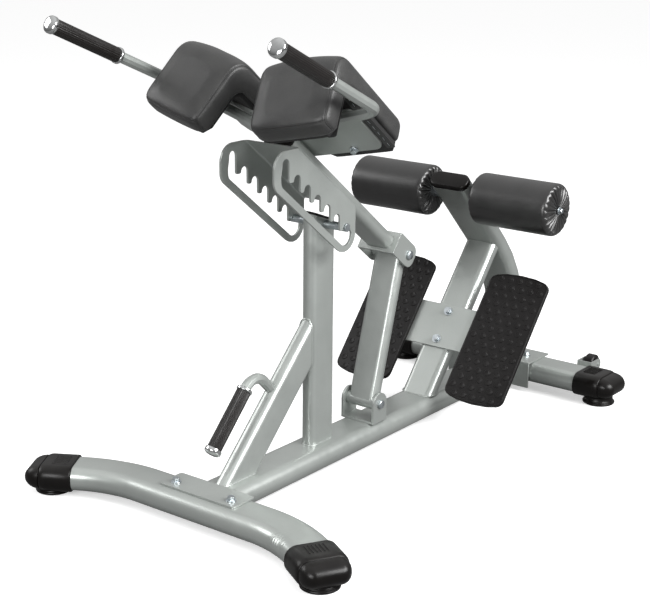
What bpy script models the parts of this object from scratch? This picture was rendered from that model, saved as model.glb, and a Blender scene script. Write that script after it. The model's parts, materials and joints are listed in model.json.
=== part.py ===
"""Hyperextension bench with a notched ladder, split hip pads, ankle rollers and foot plates.

X runs from the front feet (minus) to the rear feet (plus), Y across the bench and Z up from the
floor. The origin lies on the floor under the middle of the bench.
"""
import math

import bmesh
import bpy
from mathutils import Matrix, Vector

# Clearance between touching pieces
GAP = 0.0003

# Floor frame
RAIL_WIDE = 0.100
RAIL_TALL = 0.050
FLOOR_TUBE_WIDE = 0.0945
FRONT_CLEAR = 0.0115
REAR_CLEAR = 0.0215
RAIL_TOP = FRONT_CLEAR + RAIL_TALL
FRONT_X = -0.5447
REAR_X = 0.5655
FRONT_STRAIGHT = 0.1480
FRONT_BEND = 0.300
FRONT_TURN = math.radians(30.5)
FRONT_TIP = 0.006
FRONT_SHIFT = 0.0030
REAR_HALF = 0.235
FOOT_RADIUS = 0.0385
CAP_LENGTH = 0.1005
CAP_DOME = 0.020
FOOT_IN = 0.049
CAP_WIDE = 0.105
CAP_TALL = 0.056

# Upright column with its cross pin
COLUMN_X = -0.181
COLUMN_WIDE = 0.080
COLUMN_THICK = 0.033
COLUMN_FRONT_TOP = 0.565
COLUMN_REAR_TOP = 0.535
PIN_X = -0.179
PIN_Z = 0.538
PIN_RADIUS = 0.0085
PIN_HALF = 0.0725

# Front strut and carry handle
STRUT_WIDE = 0.0774
STRUT_RISE = 0.5073
CARRY_CORNER = (-0.3876, 0.2716)
CARRY_FOOT = (-0.3395, 0.2235)
CARRY_END = (-0.5105, 0.1435)

# Rear strut, rear post and ankle rollers
FACE_POINT = Vector((0.241, 0.0, 0.200))
FACE_NORMAL = Vector((-0.769, 0.0, 0.639)).normalized()
FACE_UP = Vector((0.639, 0.0, 0.769)).normalized()
REAR_STRUT_WIDE = 0.082
REAR_STRUT_THICK = 0.036
POST_WIDE = 0.100
POST_THICK = 0.040
POST_CORNERS = ((0.316, 0.542), (0.5903, 0.2677), (0.5903, 0.0766))
POST_BENDS = (0.0, 0.360, 0.0)
ROLLER_X = 0.342
ROLLER_Z = 0.511
ROLLER_RADIUS = 0.0595
ROLLER_NEAR = 0.061
ROLLER_FAR = 0.270
AXLE_RADIUS = 0.0125

# Foot plates
BRACKET_BACK = -0.0475
BRACKET_THICK = 0.005
FOOT_PLATE_WIDE = 0.152
FOOT_PLATE_TALL = 0.308
FOOT_PLATE_THICK = 0.009
FOOT_PLATE_Y = 0.155
FOOT_PLATE_UP = 0.032

# Swinging link
LINK_PIVOT = Vector((-0.012, 0.0, 0.104))
ARM_PIVOT = Vector((0.0797, 0.0, 0.4255))
LINK_WIDE = 0.073
LINK_THICK = 0.030
BOLT_RADIUS = 0.006

# Pad arm and notched ladder
ARM_SLOPE = math.radians(38.0)
ARM_WIDE = 0.072
ARM_THICK = 0.033
ARM_FRONT = -0.490
CLEVIS_HALF = 0.048
CLEVIS_SHEET = 0.005
LADDER_HALF = 0.069
LADDER_SHEET = 0.0045
NOTCHES = 7
NOTCH_PITCH = 0.0318
NOTCH_RADIUS = 0.0105

# Hip pads and handles
PAD_TILT = math.radians(14.0)
PAD_FRONT = -0.659
PAD_REAR = -0.387
PAD_TOP = 0.071
PAD_LOW = -0.089
PAD_THICK = 0.045
BOARD_THICK = 0.0095
PAD_INNER = 0.0485
PAD_OUTER = 0.213
PLATE_UNDER = 0.0110
HANDLE_RADIUS = 0.011
GRIP_RADIUS = 0.015

# Transport wheels
WHEEL_X = 0.651
WHEEL_Y = 0.2148
WHEEL_Z = 0.063
WHEEL_RADIUS = 0.022
WHEEL_WIDE = 0.024


def fresh_scene():
    for old in list(bpy.data.objects):
        bpy.data.objects.remove(old, do_unlink=True)
    for title in ("hyperextension_bench", "cutters"):
        group = bpy.data.collections.new(title)
        bpy.context.scene.collection.children.link(group)
    return bpy.data.collections["hyperextension_bench"], bpy.data.collections["cutters"]


BENCH, CUTTERS = fresh_scene()


def finish(name, colour, rough, metal):
    mat = bpy.data.materials.new(name)
    mat.use_nodes = True
    shader = mat.node_tree.nodes["Principled BSDF"]
    shader.inputs["Base Color"].default_value = (*colour, 1.0)
    shader.inputs["Roughness"].default_value = rough
    shader.inputs["Metallic"].default_value = metal
    mat.diffuse_color = (*colour, 1.0)
    return mat


SILVER = finish("silver_paint", (0.36, 0.385, 0.37), 0.38, 0.55)
CHROME = finish("chrome", (0.85, 0.85, 0.86), 0.08, 1.0)
ZINC = finish("zinc", (0.55, 0.60, 0.63), 0.30, 1.0)
VINYL = finish("black_vinyl", (0.030, 0.030, 0.032), 0.42, 0.0)
BOARD = finish("pad_board", (0.012, 0.012, 0.013), 0.60, 0.0)
RUBBER = finish("black_rubber", (0.022, 0.021, 0.021), 0.65, 0.0)
PLASTIC = finish("black_plastic", (0.016, 0.015, 0.015), 0.35, 0.0)
FOAM = finish("grip_foam", (0.030, 0.026, 0.024), 0.55, 0.0)


def frame(origin, x_axis, y_axis):
    """Placement with its local X and Y along the given directions."""
    x = Vector(x_axis).normalized()
    y = Vector(y_axis).normalized()
    z = x.cross(y)
    turn = Matrix((x, y, z)).transposed().to_4x4()
    return Matrix.Translation(Vector(origin)) @ turn


def add(name, data, mat, place=None, parent=None):
    data.materials.clear()
    data.materials.append(mat)
    obj = bpy.data.objects.new(name, data)
    BENCH.objects.link(obj)
    if parent is not None:
        obj.parent = parent
    if place is not None:
        obj.matrix_basis = place
    return obj


def mesh_from(name, bm, sharp=35.0):
    bmesh.ops.recalc_face_normals(bm, faces=bm.faces)
    mesh = bpy.data.meshes.new(name)
    bm.to_mesh(mesh)
    bm.free()
    mesh.shade_smooth()
    mesh.set_sharp_from_angle(angle=math.radians(sharp))
    return mesh


def baked(obj, sharp=35.0):
    """Give a curve, or an object with modifiers, its finished mesh under the same name."""
    bpy.context.view_layer.update()
    graph = bpy.context.evaluated_depsgraph_get()
    mesh = bpy.data.meshes.new_from_object(obj.evaluated_get(graph))
    bm = bmesh.new()
    bm.from_mesh(mesh)
    bmesh.ops.remove_doubles(bm, verts=bm.verts, dist=0.00002)
    bpy.data.meshes.remove(mesh)
    mesh = mesh_from(obj.name, bm, sharp)
    name = obj.name
    mat = obj.data.materials[0]
    place = obj.matrix_basis.copy()
    parent = obj.parent
    bpy.data.objects.remove(obj, do_unlink=True)
    return add(name, mesh, mat, place, parent)


def hide_as_cutter(obj):
    for group in list(obj.users_collection):
        group.objects.unlink(obj)
    CUTTERS.objects.link(obj)
    obj.hide_render = True
    obj.display_type = 'WIRE'


def boolean(obj, tool, how):
    step = obj.modifiers.new(how.lower(), 'BOOLEAN')
    step.operation = how
    step.object = tool
    hide_as_cutter(tool)


# Outlines

def rounded(corners, radii, steps=5):
    """Closed outline whose corners are replaced by arcs."""
    points = []
    count = len(corners)
    for i in range(count):
        here = Vector(corners[i])
        back = (Vector(corners[i - 1]) - here).normalized()
        ahead = (Vector(corners[(i + 1) % count]) - here).normalized()
        radius = radii[i] if isinstance(radii, (list, tuple)) else radii
        if radius <= 0.0:
            points.append(here)
            continue
        half = 0.5 * back.angle(ahead)
        centre = here + (back + ahead).normalized() * (radius / math.sin(half))
        first = here + back * (radius / math.tan(half)) - centre
        last = here + ahead * (radius / math.tan(half)) - centre
        turn = first.angle(last)
        for k in range(steps + 1):
            part = k / steps
            mix = first * math.sin((1 - part) * turn) + last * math.sin(part * turn)
            points.append(centre + mix / math.sin(turn))
    return points


def oval(wide, thick, steps=4):
    """Section of a flat-oval tube."""
    a = wide / 2
    b = thick / 2
    return rounded([(a, -b), (a, b), (-a, b), (-a, -b)], thick * 0.45, steps)


def bent_path(corners, radii, step=math.radians(9)):
    """Open path of straight runs and arcs."""
    points = [Vector(corners[0])]
    for i in range(1, len(corners) - 1):
        here = Vector(corners[i])
        back = (Vector(corners[i - 1]) - here).normalized()
        ahead = (Vector(corners[i + 1]) - here).normalized()
        half = 0.5 * back.angle(ahead)
        centre = here + (back + ahead).normalized() * (radii[i] / math.sin(half))
        first = here + back * (radii[i] / math.tan(half)) - centre
        last = here + ahead * (radii[i] / math.tan(half)) - centre
        turn = first.angle(last)
        count = max(3, round(turn / step))
        for k in range(count + 1):
            part = k / count
            mix = first * math.sin((1 - part) * turn) + last * math.sin(part * turn)
            points.append(centre + mix / math.sin(turn))
    points.append(Vector(corners[-1]))
    return points


# Basic forms

def straight_tube(name, start, end, wide, thick, across, mat=SILVER, parent=None,
                  start_cut=None, end_cut=None, edge=0.45):
    """Flat-oval tube between two points, its ends square or cut on given planes."""
    start = Vector(start)
    place = frame(start, Vector(end) - start, across)
    back = place.inverted()
    length = (Vector(end) - start).length
    bm = bmesh.new()
    bmesh.ops.create_cube(bm, size=1.0)
    runs = [e for e in bm.edges if abs(e.verts[0].co.x - e.verts[1].co.x) > 0.5]
    for vert in bm.verts:
        cut = end_cut if vert.co.x > 0 else start_cut
        spot = Vector(((vert.co.x + 0.5) * length, vert.co.y * wide, vert.co.z * thick))
        if cut is not None:
            point = back @ Vector(cut[0])
            normal = back.to_3x3() @ Vector(cut[1])
            spot.x += (point - spot).dot(normal) / normal.x
        vert.co = spot
    bmesh.ops.bevel(bm, geom=runs, offset=thick * edge, segments=4, profile=0.5, affect='EDGES')
    return add(name, mesh_from(name, bm), mat, place, parent)


def bent_tube(name, corners, radii, inside, outside, place=None, mat=SILVER, extra=0.0):
    """Flat-oval tube bent in its local XY plane, inside wide in that plane."""
    section = bpy.data.curves.new(name + "_section", 'CURVE')
    section.dimensions = '2D'
    outline = oval(inside + extra, outside + extra) if inside > outside else [
        Vector((p.y, p.x)) for p in oval(outside + extra, inside + extra)]
    ring = section.splines.new('POLY')
    ring.points.add(len(outline) - 1)
    for slot, point in zip(ring.points, outline):
        slot.co = (point.x, point.y, 0.0, 1.0)
    ring.use_cyclic_u = True
    guide = bpy.data.objects.new(name + "_section", section)
    CUTTERS.objects.link(guide)
    guide.hide_render = True
    guide.display_type = 'WIRE'
    path = bpy.data.curves.new(name, 'CURVE')
    path.dimensions = '3D'
    path.twist_mode = 'Z_UP'
    path.bevel_mode = 'OBJECT'
    path.bevel_object = guide
    path.use_fill_caps = True
    run = path.splines.new('POLY')
    points = bent_path(corners, radii)
    run.points.add(len(points) - 1)
    for slot, point in zip(run.points, points):
        slot.co = (point.x, point.y, 0.0, 1.0)
    return baked(add(name, path, mat, place))


def round_tube(name, points, radius, mat=SILVER, place=None, parent=None, sides=2):
    """Round tube along a path, its ends filled."""
    path = bpy.data.curves.new(name, 'CURVE')
    path.dimensions = '3D'
    path.bevel_depth = radius
    path.bevel_resolution = sides
    path.use_fill_caps = True
    run = path.splines.new('POLY')
    run.points.add(len(points) - 1)
    for slot, point in zip(run.points, points):
        slot.co = (*point, 1.0)
    return add(name, path, mat, place, parent)


def sheet(name, outline, thick, mat=SILVER, place=None, parent=None, holes=()):
    """Flat plate cut to an outline, centred on its local XY plane."""
    flat = bpy.data.curves.new(name, 'CURVE')
    flat.dimensions = '2D'
    flat.fill_mode = 'BOTH'
    flat.extrude = thick / 2
    for loop in (outline, *holes):
        ring = flat.splines.new('POLY')
        ring.points.add(len(loop) - 1)
        for slot, point in zip(ring.points, loop):
            slot.co = (point[0], point[1], 0.0, 1.0)
        ring.use_cyclic_u = True
    return add(name, flat, mat, place, parent)


def turned(name, profile, mat, place=None, parent=None, steps=32, sharp=35.0):
    """Piece turned about its local Z axis from a profile of radius and height."""
    bm = bmesh.new()
    spots = [bm.verts.new((radius, 0.0, height)) for radius, height in profile]
    for a, b in zip(spots, spots[1:]):
        bm.edges.new((a, b))
    if profile[0][0] > 0 and profile[-1][0] > 0:
        bm.edges.new((spots[-1], spots[0]))
    mesh = bpy.data.meshes.new(name)
    bm.to_mesh(mesh)
    bm.free()
    obj = add(name, mesh, mat, place, parent)
    spin = obj.modifiers.new("turn", 'SCREW')
    spin.axis = 'Z'
    spin.steps = steps
    spin.render_steps = steps
    spin.use_merge_vertices = True
    spin.merge_threshold = 0.00002
    return baked(obj, sharp)


def circle(radius, count=24):
    return [(radius * math.cos(2 * math.pi * k / count), radius * math.sin(2 * math.pi * k / count))
            for k in range(count)]


def rod(name, radius, length, mat, place, parent=None, sides=24):
    """Cylinder centred on its origin along its local Z axis."""
    bm = bmesh.new()
    bmesh.ops.create_cone(bm, cap_ends=True, segments=sides, radius1=radius, radius2=radius, depth=length)
    return add(name, mesh_from(name, bm), mat, place, parent)


def hex_bolt(name, place, size=0.013, washer=0.0105, parent=None):
    """Hexagon head on a washer, standing on its local XY plane."""
    bolt = rod(name, washer, 0.0022, ZINC, place @ Matrix.Translation((0, 0, 0.0011 + GAP)), parent)
    head = rod(name + "_head", size / math.sqrt(3), 0.0075, ZINC,
               place @ Matrix.Translation((0, 0, 0.0052 + GAP)), parent, sides=6)
    boolean(bolt, head, 'UNION')
    return bolt


ALONG_Y = frame((0, 0, 0), (1, 0, 0), (0, 0, -1))


def at_y(x, y, z):
    """Placement whose local Z axis runs along the bench's Y axis."""
    return Matrix.Translation((x, y, z)) @ ALONG_Y


# Floor frame

def base_rail():
    straight_tube("base_rail", (FRONT_X + FLOOR_TUBE_WIDE / 2 + GAP, 0, FRONT_CLEAR + RAIL_TALL / 2),
                  (0.513 - GAP, 0, FRONT_CLEAR + RAIL_TALL / 2), RAIL_WIDE, RAIL_TALL, (0, 1, 0))


def front_end():
    """Where the bent front tube meets its cap, and the way it points there."""
    way = Vector((-math.sin(FRONT_TURN), math.cos(FRONT_TURN), 0))
    y = FRONT_STRAIGHT + FRONT_BEND * math.sin(FRONT_TURN)
    x = FRONT_X - FRONT_BEND * (1 - math.cos(FRONT_TURN))
    return Vector((x, y, 0)) + way * FRONT_TIP, way


def front_stabiliser():
    end, way = front_end()
    corner = FRONT_STRAIGHT + FRONT_BEND * math.tan(FRONT_TURN / 2)
    tip = end + way * 0.001
    corners = ((tip.x, -tip.y), (FRONT_X, -corner), (FRONT_X, corner), (tip.x, tip.y))
    place = Matrix.Translation((0, FRONT_SHIFT, FRONT_CLEAR + RAIL_TALL / 2))
    bent_tube("front_stabiliser", corners, (0, FRONT_BEND, FRONT_BEND, 0), FLOOR_TUBE_WIDE, RAIL_TALL, place)


def rear_stabiliser():
    z = REAR_CLEAR + RAIL_TALL / 2
    straight_tube("rear_stabiliser", (REAR_X, -REAR_HALF, z), (REAR_X, REAR_HALF, z),
                  FLOOR_TUBE_WIDE, RAIL_TALL, (1, 0, 0))


def foot_cap_mesh(clear):
    """Moulded end cap along local X, with ribs, a bulged end and a round foot."""
    body = bmesh.new()
    bmesh.ops.create_cube(body, size=1.0)
    bmesh.ops.scale(body, vec=(CAP_LENGTH - 0.0018, CAP_WIDE, CAP_TALL), verts=body.verts)
    bmesh.ops.translate(body, vec=(CAP_LENGTH / 2 + 0.0009, 0, 0), verts=body.verts)
    runs = [e for e in body.edges if abs(e.verts[0].co.x - e.verts[1].co.x) > 0.01]
    bmesh.ops.bevel(body, geom=runs, offset=CAP_TALL * 0.47, segments=5, profile=0.5, affect='EDGES')
    rim = [e for e in body.edges if min(v.co.x for v in e.verts) > CAP_LENGTH - 0.001]
    bmesh.ops.bevel(body, geom=rim, offset=CAP_DOME, segments=4, profile=0.5, affect='EDGES')
    body = add("cap_body", mesh_from("cap_body", body), PLASTIC)
    bulge = bmesh.new()
    bmesh.ops.create_cube(bulge, size=1.0)
    bmesh.ops.scale(bulge, vec=(0.040, 0.076, 0.040), verts=bulge.verts)
    bmesh.ops.bevel(bulge, geom=bulge.edges, offset=0.012, segments=3, profile=0.5, affect='EDGES')
    nose = add("cap_nose", mesh_from("cap_nose", bulge), PLASTIC, Matrix.Translation((CAP_LENGTH - 0.0185, 0, 0.001)))
    boolean(body, nose, 'UNION')
    low = -(clear + RAIL_TALL / 2)
    foot = turned("cap_foot", [(0.0, low + 0.030), (0.034, low + 0.030), (0.034, low + 0.010),
                               (FOOT_RADIUS, low + 0.006), (FOOT_RADIUS, low + 0.001),
                               (FOOT_RADIUS - 0.001, low), (0.0, low)], PLASTIC,
                  Matrix.Translation((FOOT_IN, 0, 0)), steps=24)
    boolean(body, foot, 'UNION')
    for k in range(6):
        bar = bmesh.new()
        bmesh.ops.create_cube(bar, size=1.0)
        bmesh.ops.scale(bar, vec=(0.030, 0.0026, 0.006), verts=bar.verts)
        rib = add("cap_rib", mesh_from("cap_rib", bar), PLASTIC,
                  Matrix.Translation((0.030, (k - 2.5) * 0.0072, CAP_TALL / 2 - 0.0018)))
        boolean(body, rib, 'UNION')
    body = baked(body)
    mesh = body.data
    bpy.data.objects.remove(body, do_unlink=True)
    return mesh


def foot_caps():
    end, way = front_end()
    front = foot_cap_mesh(FRONT_CLEAR)
    rear = foot_cap_mesh(REAR_CLEAR)
    for side, label in ((-1, "near"), (1, "far")):
        spot = (end.x, side * end.y + FRONT_SHIFT, FRONT_CLEAR + RAIL_TALL / 2)
        heading = Vector((way.x, side * way.y, 0))
        add("front_foot_cap_" + label, front.copy(), PLASTIC, frame(spot, heading, Vector((0, 0, 1)).cross(heading)))
        spot = (REAR_X, side * (REAR_HALF - 0.001), REAR_CLEAR + RAIL_TALL / 2)
        heading = Vector((0, side, 0))
        add("rear_foot_cap_" + label, rear.copy(), PLASTIC, frame(spot, heading, Vector((0, 0, 1)).cross(heading)))


def front_plate():
    outline = rounded([(-0.566, -0.097), (-0.5015, -0.097), (-0.5015, 0.097), (-0.566, 0.097)], 0.006, 3)
    sheet("front_plate", outline, 0.004, SILVER, Matrix.Translation((0, 0, RAIL_TOP + GAP + 0.002)))
    for side, label in ((-1, "near"), (1, "far")):
        hex_bolt("front_bolt_" + label, Matrix.Translation((-0.544, side * 0.072, RAIL_TOP + GAP + 0.004)))


def rear_saddle():
    """Folded plate over the rear tube, with its front flange down the end of the rail."""
    top = REAR_CLEAR + RAIL_TALL + GAP
    outline = rounded([(0.513, FRONT_CLEAR), (0.5175, FRONT_CLEAR), (0.5175, top), (0.611, top),
                       (0.611, top + 0.0045), (0.513, top + 0.0045)], [0, 0, 0.0004, 0, 0, 0.005], 4)
    sheet("rear_saddle", outline, 0.230, SILVER, frame((0, 0, 0), (1, 0, 0), (0, 0, 1)))
    for side, label in ((-1, "near"), (1, "far")):
        hex_bolt("rear_bolt_" + label, Matrix.Translation((REAR_X, side * 0.078, top + 0.0045)))


def column():
    slope = (COLUMN_FRONT_TOP - COLUMN_REAR_TOP) / COLUMN_WIDE
    normal = Vector((slope, 0, 1)).normalized()
    edge = Vector((COLUMN_X - COLUMN_WIDE / 2, 0, COLUMN_FRONT_TOP))
    post = straight_tube("column", (COLUMN_X, 0, RAIL_TOP + GAP), (COLUMN_X, 0, COLUMN_FRONT_TOP),
                         COLUMN_WIDE, COLUMN_THICK, (1, 0, 0), end_cut=(edge, normal))
    bore = rod("column_bore", PIN_RADIUS + GAP, 0.2, SILVER, at_y(PIN_X, 0, PIN_Z))
    boolean(post, bore, 'DIFFERENCE')
    low = edge + normal * GAP
    high = edge + normal * 0.005
    straight_tube("column_cap", (COLUMN_X, 0, 0.54), (COLUMN_X, 0, 0.56), COLUMN_WIDE, COLUMN_THICK, (1, 0, 0),
                  PLASTIC, start_cut=(low, normal), end_cut=(high, normal))
    rod("support_pin", PIN_RADIUS, 2 * PIN_HALF, ZINC, at_y(PIN_X, 0, PIN_Z))


def front_strut():
    drop = RAIL_TOP + GAP
    face = COLUMN_X - COLUMN_WIDE / 2 - GAP
    straight_tube("front_strut", (drop - STRUT_RISE, 0, drop), (face, 0, face + STRUT_RISE), STRUT_WIDE,
                  COLUMN_THICK, (-1, 0, 1), start_cut=((0, 0, drop), (0, 0, 1)),
                  end_cut=((face, 0, 0), (1, 0, 0)))


def sleeve(name, inner, outer, low, high, mat, place, parent=None, edge=0.001, steps=20):
    """Ring or sleeve along local Z with a bore."""
    profile = [(outer - edge, high), (outer, high - edge), (outer, low + edge), (outer - edge, low),
               (inner, low), (inner, high)]
    return turned(name, profile, mat, place, parent, steps)


def end_cap(name, radius, long, place, parent=None):
    """Domed chrome plug that stands on its local XY plane."""
    profile = [(0.0, long), (radius * 0.62, long), (radius * 0.84, long - 0.0016), (radius * 0.95, long - 0.0045),
               (radius, long - 0.0075), (radius, 0.0015), (radius - 0.001, 0.0), (0.0, 0.0)]
    return turned(name, profile, CHROME, place, parent, 20)


def grip_set(label, tip, ring, parent=None):
    """Grip, chrome ring and chrome end cap on the straight end of a handle tube."""
    tip = Vector(tip)
    way = (tip - Vector(ring)).normalized()
    side = way.orthogonal().normalized()
    place = Matrix.Translation(tip) @ Matrix((side, way.cross(side), way)).transposed().to_4x4()
    long = (tip - Vector(ring)).length
    bore = HANDLE_RADIUS + 0.00045
    sleeve(label + "_grip", bore, GRIP_RADIUS, -long, -0.0003, FOAM, place, parent)
    sleeve(label + "_ring", bore, GRIP_RADIUS + 0.0016, -long - 0.0068, -long - 0.0003, CHROME, place, parent,
           edge=0.0018)
    end_cap(label + "_end_cap", GRIP_RADIUS + 0.0022, 0.0130, place @ Matrix.Translation((0, 0, GAP)), parent)


def carry_handle():
    foot = Vector((CARRY_FOOT[0], 0, CARRY_FOOT[1]))
    corner = Vector((CARRY_CORNER[0], 0, CARRY_CORNER[1]))
    tip = Vector((CARRY_END[0], 0, CARRY_END[1]))
    path = bent_path((foot, corner, tip), (0, 0.039, 0), math.radians(11))
    round_tube("carry_tube", path, HANDLE_RADIUS, sides=3)
    ring = tip + (corner - tip).normalized() * 0.130
    grip_set("carry", tip, ring)


def rear_post():
    place = frame((0, 0, 0), (1, 0, 0), (0, 0, 1))
    post = bent_tube("rear_post", POST_CORNERS, POST_BENDS, POST_THICK, POST_WIDE, place)
    bore = rod("post_bore", AXLE_RADIUS + GAP, 0.2, SILVER, at_y(ROLLER_X, 0, ROLLER_Z))
    boolean(post, bore, 'DIFFERENCE')
    first = Vector((POST_CORNERS[0][0], 0, POST_CORNERS[0][1]))
    second = Vector((POST_CORNERS[1][0], 0, POST_CORNERS[1][1]))
    way = (first - second).normalized()
    straight_tube("rear_post_cap", first + way * GAP, first + way * 0.006, POST_WIDE + 0.001,
                  POST_THICK + 0.001, (0, 1, 0), PLASTIC)
    wide = bent_tube("post_room", POST_CORNERS, POST_BENDS, POST_THICK, POST_WIDE, place, extra=2 * GAP)
    middle = FACE_POINT + FACE_NORMAL * (BRACKET_BACK - GAP - REAR_STRUT_THICK / 2)
    reach = (0.381 - middle.z) / FACE_UP.z
    drop = (RAIL_TOP + GAP - middle.z) / FACE_UP.z
    strut = straight_tube("rear_strut", middle + FACE_UP * drop, middle + FACE_UP * reach, REAR_STRUT_WIDE,
                          REAR_STRUT_THICK, (0, 1, 0), start_cut=((0, 0, RAIL_TOP + GAP), (0, 0, 1)))
    boolean(strut, wide, 'DIFFERENCE')


def roller_axle():
    """Bar through the post with a bolted washer at each end that keeps the rollers on."""
    end = ROLLER_FAR + 0.0008
    half = [(0.0, end + 0.008), (0.0065, end + 0.0072), (0.009, end + 0.005), (0.009, end + 0.003),
            (0.016, end + 0.0025), (0.016, end), (AXLE_RADIUS, end)]
    profile = half + [(r, -z) for r, z in reversed(half)]
    turned("roller_axle", profile, ZINC, at_y(ROLLER_X, 0, ROLLER_Z), steps=20)


def ankle_roller(label, side):
    """Foam roller in vinyl, gathered into pleats on its ends."""
    low = ROLLER_NEAR
    high = ROLLER_FAR
    mid = (low + high) / 2
    half = (high - low) / 2
    bore = AXLE_RADIUS + 0.0006
    edge = 0.019
    rim = []
    for k in range(5):
        turn = math.radians(90 * k / 4)
        rim.append((ROLLER_RADIUS - edge + edge * math.sin(turn), half - 0.004 - edge + edge * math.cos(turn)))
    upper = [(bore, half - 0.004), (bore + 0.006, half), (ROLLER_RADIUS - edge - 0.010, half - 0.0012)] + rim
    profile = upper + [(r, -z) for r, z in reversed(upper)]
    roller = turned("ankle_roller_" + label, profile, VINYL, at_y(ROLLER_X, side * mid, ROLLER_Z), steps=48,
                    sharp=60)
    for vert in roller.data.vertices:
        spread = math.hypot(vert.co.x, vert.co.y)
        if abs(vert.co.z) > half - 0.022 and spread > bore + 0.004:
            turn = math.atan2(vert.co.y, vert.co.x)
            fade = min(1.0, (ROLLER_RADIUS - spread) / 0.012)
            vert.co.z -= math.copysign(0.0011 * fade * (1 - math.cos(24 * turn)), vert.co.z)
    return roller


# Foot plates

def on_face(y, up, offset):
    """Placement on the slanted foot plate face, local Z pointing back through it."""
    spot = FACE_POINT + FACE_UP * up + FACE_NORMAL * offset
    return frame((spot.x, y, spot.z), (0, 1, 0), FACE_UP)


def foot_plates():
    middle = BRACKET_BACK + BRACKET_THICK / 2
    outline = rounded([(-0.190, -0.054), (0.190, -0.054), (0.190, 0.054), (-0.190, 0.054)], 0.008, 3)
    sheet("foot_plate_bracket", outline, BRACKET_THICK, SILVER, on_face(0, 0.038, middle))
    front = BRACKET_BACK + BRACKET_THICK
    for label, up in (("upper", 0.076), ("lower", 0.003)):
        spot = FACE_POINT + FACE_UP * up + FACE_NORMAL * front
        hex_bolt("bracket_bolt_" + label, frame(spot, (0, -1, 0), FACE_UP))
    a = FOOT_PLATE_WIDE / 2
    b = FOOT_PLATE_TALL / 2
    corners = [(-a, -b), (-a / 2, -b - 0.0085), (0, -b - 0.011), (a / 2, -b - 0.0085), (a, -b),
               (a, b), (a / 2, b + 0.0085), (0, b + 0.011), (-a / 2, b + 0.0085), (-a, b)]
    bends = [0.018, 0.04, 0.04, 0.04, 0.018, 0.018, 0.04, 0.04, 0.04, 0.018]
    outline = rounded(corners, bends, 4)
    for side, label in ((-1, "near"), (1, "far")):
        place = on_face(side * FOOT_PLATE_Y, FOOT_PLATE_UP, front + GAP + FOOT_PLATE_THICK / 2)
        pad = baked(sheet("foot_plate_" + label, outline, FOOT_PLATE_THICK, RUBBER, place))
        soft = pad.modifiers.new("soft_edges", 'BEVEL')
        soft.width = 0.002
        soft.segments = 1
        soft.limit_method = 'ANGLE'
        soft.angle_limit = math.radians(60)


# Swinging link

def link_clevis():
    """U bracket on the rail that carries the lower pivot."""
    half = 0.025
    ear = rounded([(-half, RAIL_TOP + GAP), (half, RAIL_TOP + GAP), (half, LINK_PIVOT.z + half),
                   (-half, LINK_PIVOT.z + half)], [0, 0, half * 0.98, half * 0.98], 6)
    block = baked(sheet("link_clevis", ear, 0.088, SILVER,
                        frame((LINK_PIVOT.x, 0, 0), (1, 0, 0), (0, 0, 1))))
    room = bmesh.new()
    bmesh.ops.create_cube(room, size=1.0)
    bmesh.ops.scale(room, vec=(0.2, 0.078, 0.2), verts=room.verts)
    inside = add("clevis_room", mesh_from("clevis_room", room), SILVER,
                 Matrix.Translation((LINK_PIVOT.x, 0, RAIL_TOP + 0.0055 + 0.1)))
    boolean(block, inside, 'DIFFERENCE')
    bore = rod("clevis_bore", BOLT_RADIUS + GAP, 0.2, SILVER, at_y(*LINK_PIVOT))
    boolean(block, bore, 'DIFFERENCE')
    pivot_bolt("link_pivot_bolt", 0.044, at_y(*LINK_PIVOT))


def pivot_bolt(name, reach, place, parent=None):
    """Bolt through both ears, a head on one side and a nut on the other."""
    head = 0.0095
    end = reach + GAP
    profile = [(0.0, end + 0.007), (head - 0.002, end + 0.0065), (head, end + 0.005), (head, end),
               (BOLT_RADIUS, end), (BOLT_RADIUS, -end), (head, -end), (head, -end - 0.005),
               (head - 0.002, -end - 0.0065), (0.0, -end - 0.007)]
    turned(name, profile, ZINC, place, parent, 16)


def swing_link():
    """Oval tube with a cross sleeve at each end."""
    reach = (ARM_PIVOT - LINK_PIVOT).length
    lean = math.atan2(ARM_PIVOT.x - LINK_PIVOT.x, ARM_PIVOT.z - LINK_PIVOT.z)
    hinge = bpy.data.objects.new("link_hinge", None)
    BENCH.objects.link(hinge)
    hinge.location = LINK_PIVOT
    hinge.rotation_euler = (0.0, lean, 0.0)
    bar = straight_tube("swing_link", (0, 0, 0.004), (0, 0, reach - 0.004), LINK_WIDE, LINK_THICK, (0, 1, 0),
                        parent=hinge)
    for label, height, half in (("lower", 0.0, 0.0387), ("upper", reach, 0.0422)):
        hub = rod("link_hub_" + label, 0.0155, 2 * half, SILVER, at_y(0, 0, height), hinge, sides=32)
        boolean(bar, hub, 'UNION')
    for label, height in (("lower", 0.0), ("upper", reach)):
        bore = rod("link_bore_" + label, BOLT_RADIUS + GAP, 0.2, SILVER, at_y(0, 0, height), hinge)
        boolean(bar, bore, 'DIFFERENCE')


# Pad arm

def arm_hinge():
    hinge = bpy.data.objects.new("arm_hinge", None)
    BENCH.objects.link(hinge)
    hinge.location = ARM_PIVOT
    hinge.rotation_euler = (0.0, ARM_SLOPE, 0.0)
    return hinge


def in_arm(x, z):
    """World X and Z at rest turned into distances along and off the arm."""
    dx = x - ARM_PIVOT.x
    dz = z - ARM_PIVOT.z
    return (dx * math.cos(ARM_SLOPE) - dz * math.sin(ARM_SLOPE),
            dx * math.sin(ARM_SLOPE) + dz * math.cos(ARM_SLOPE))


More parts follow.
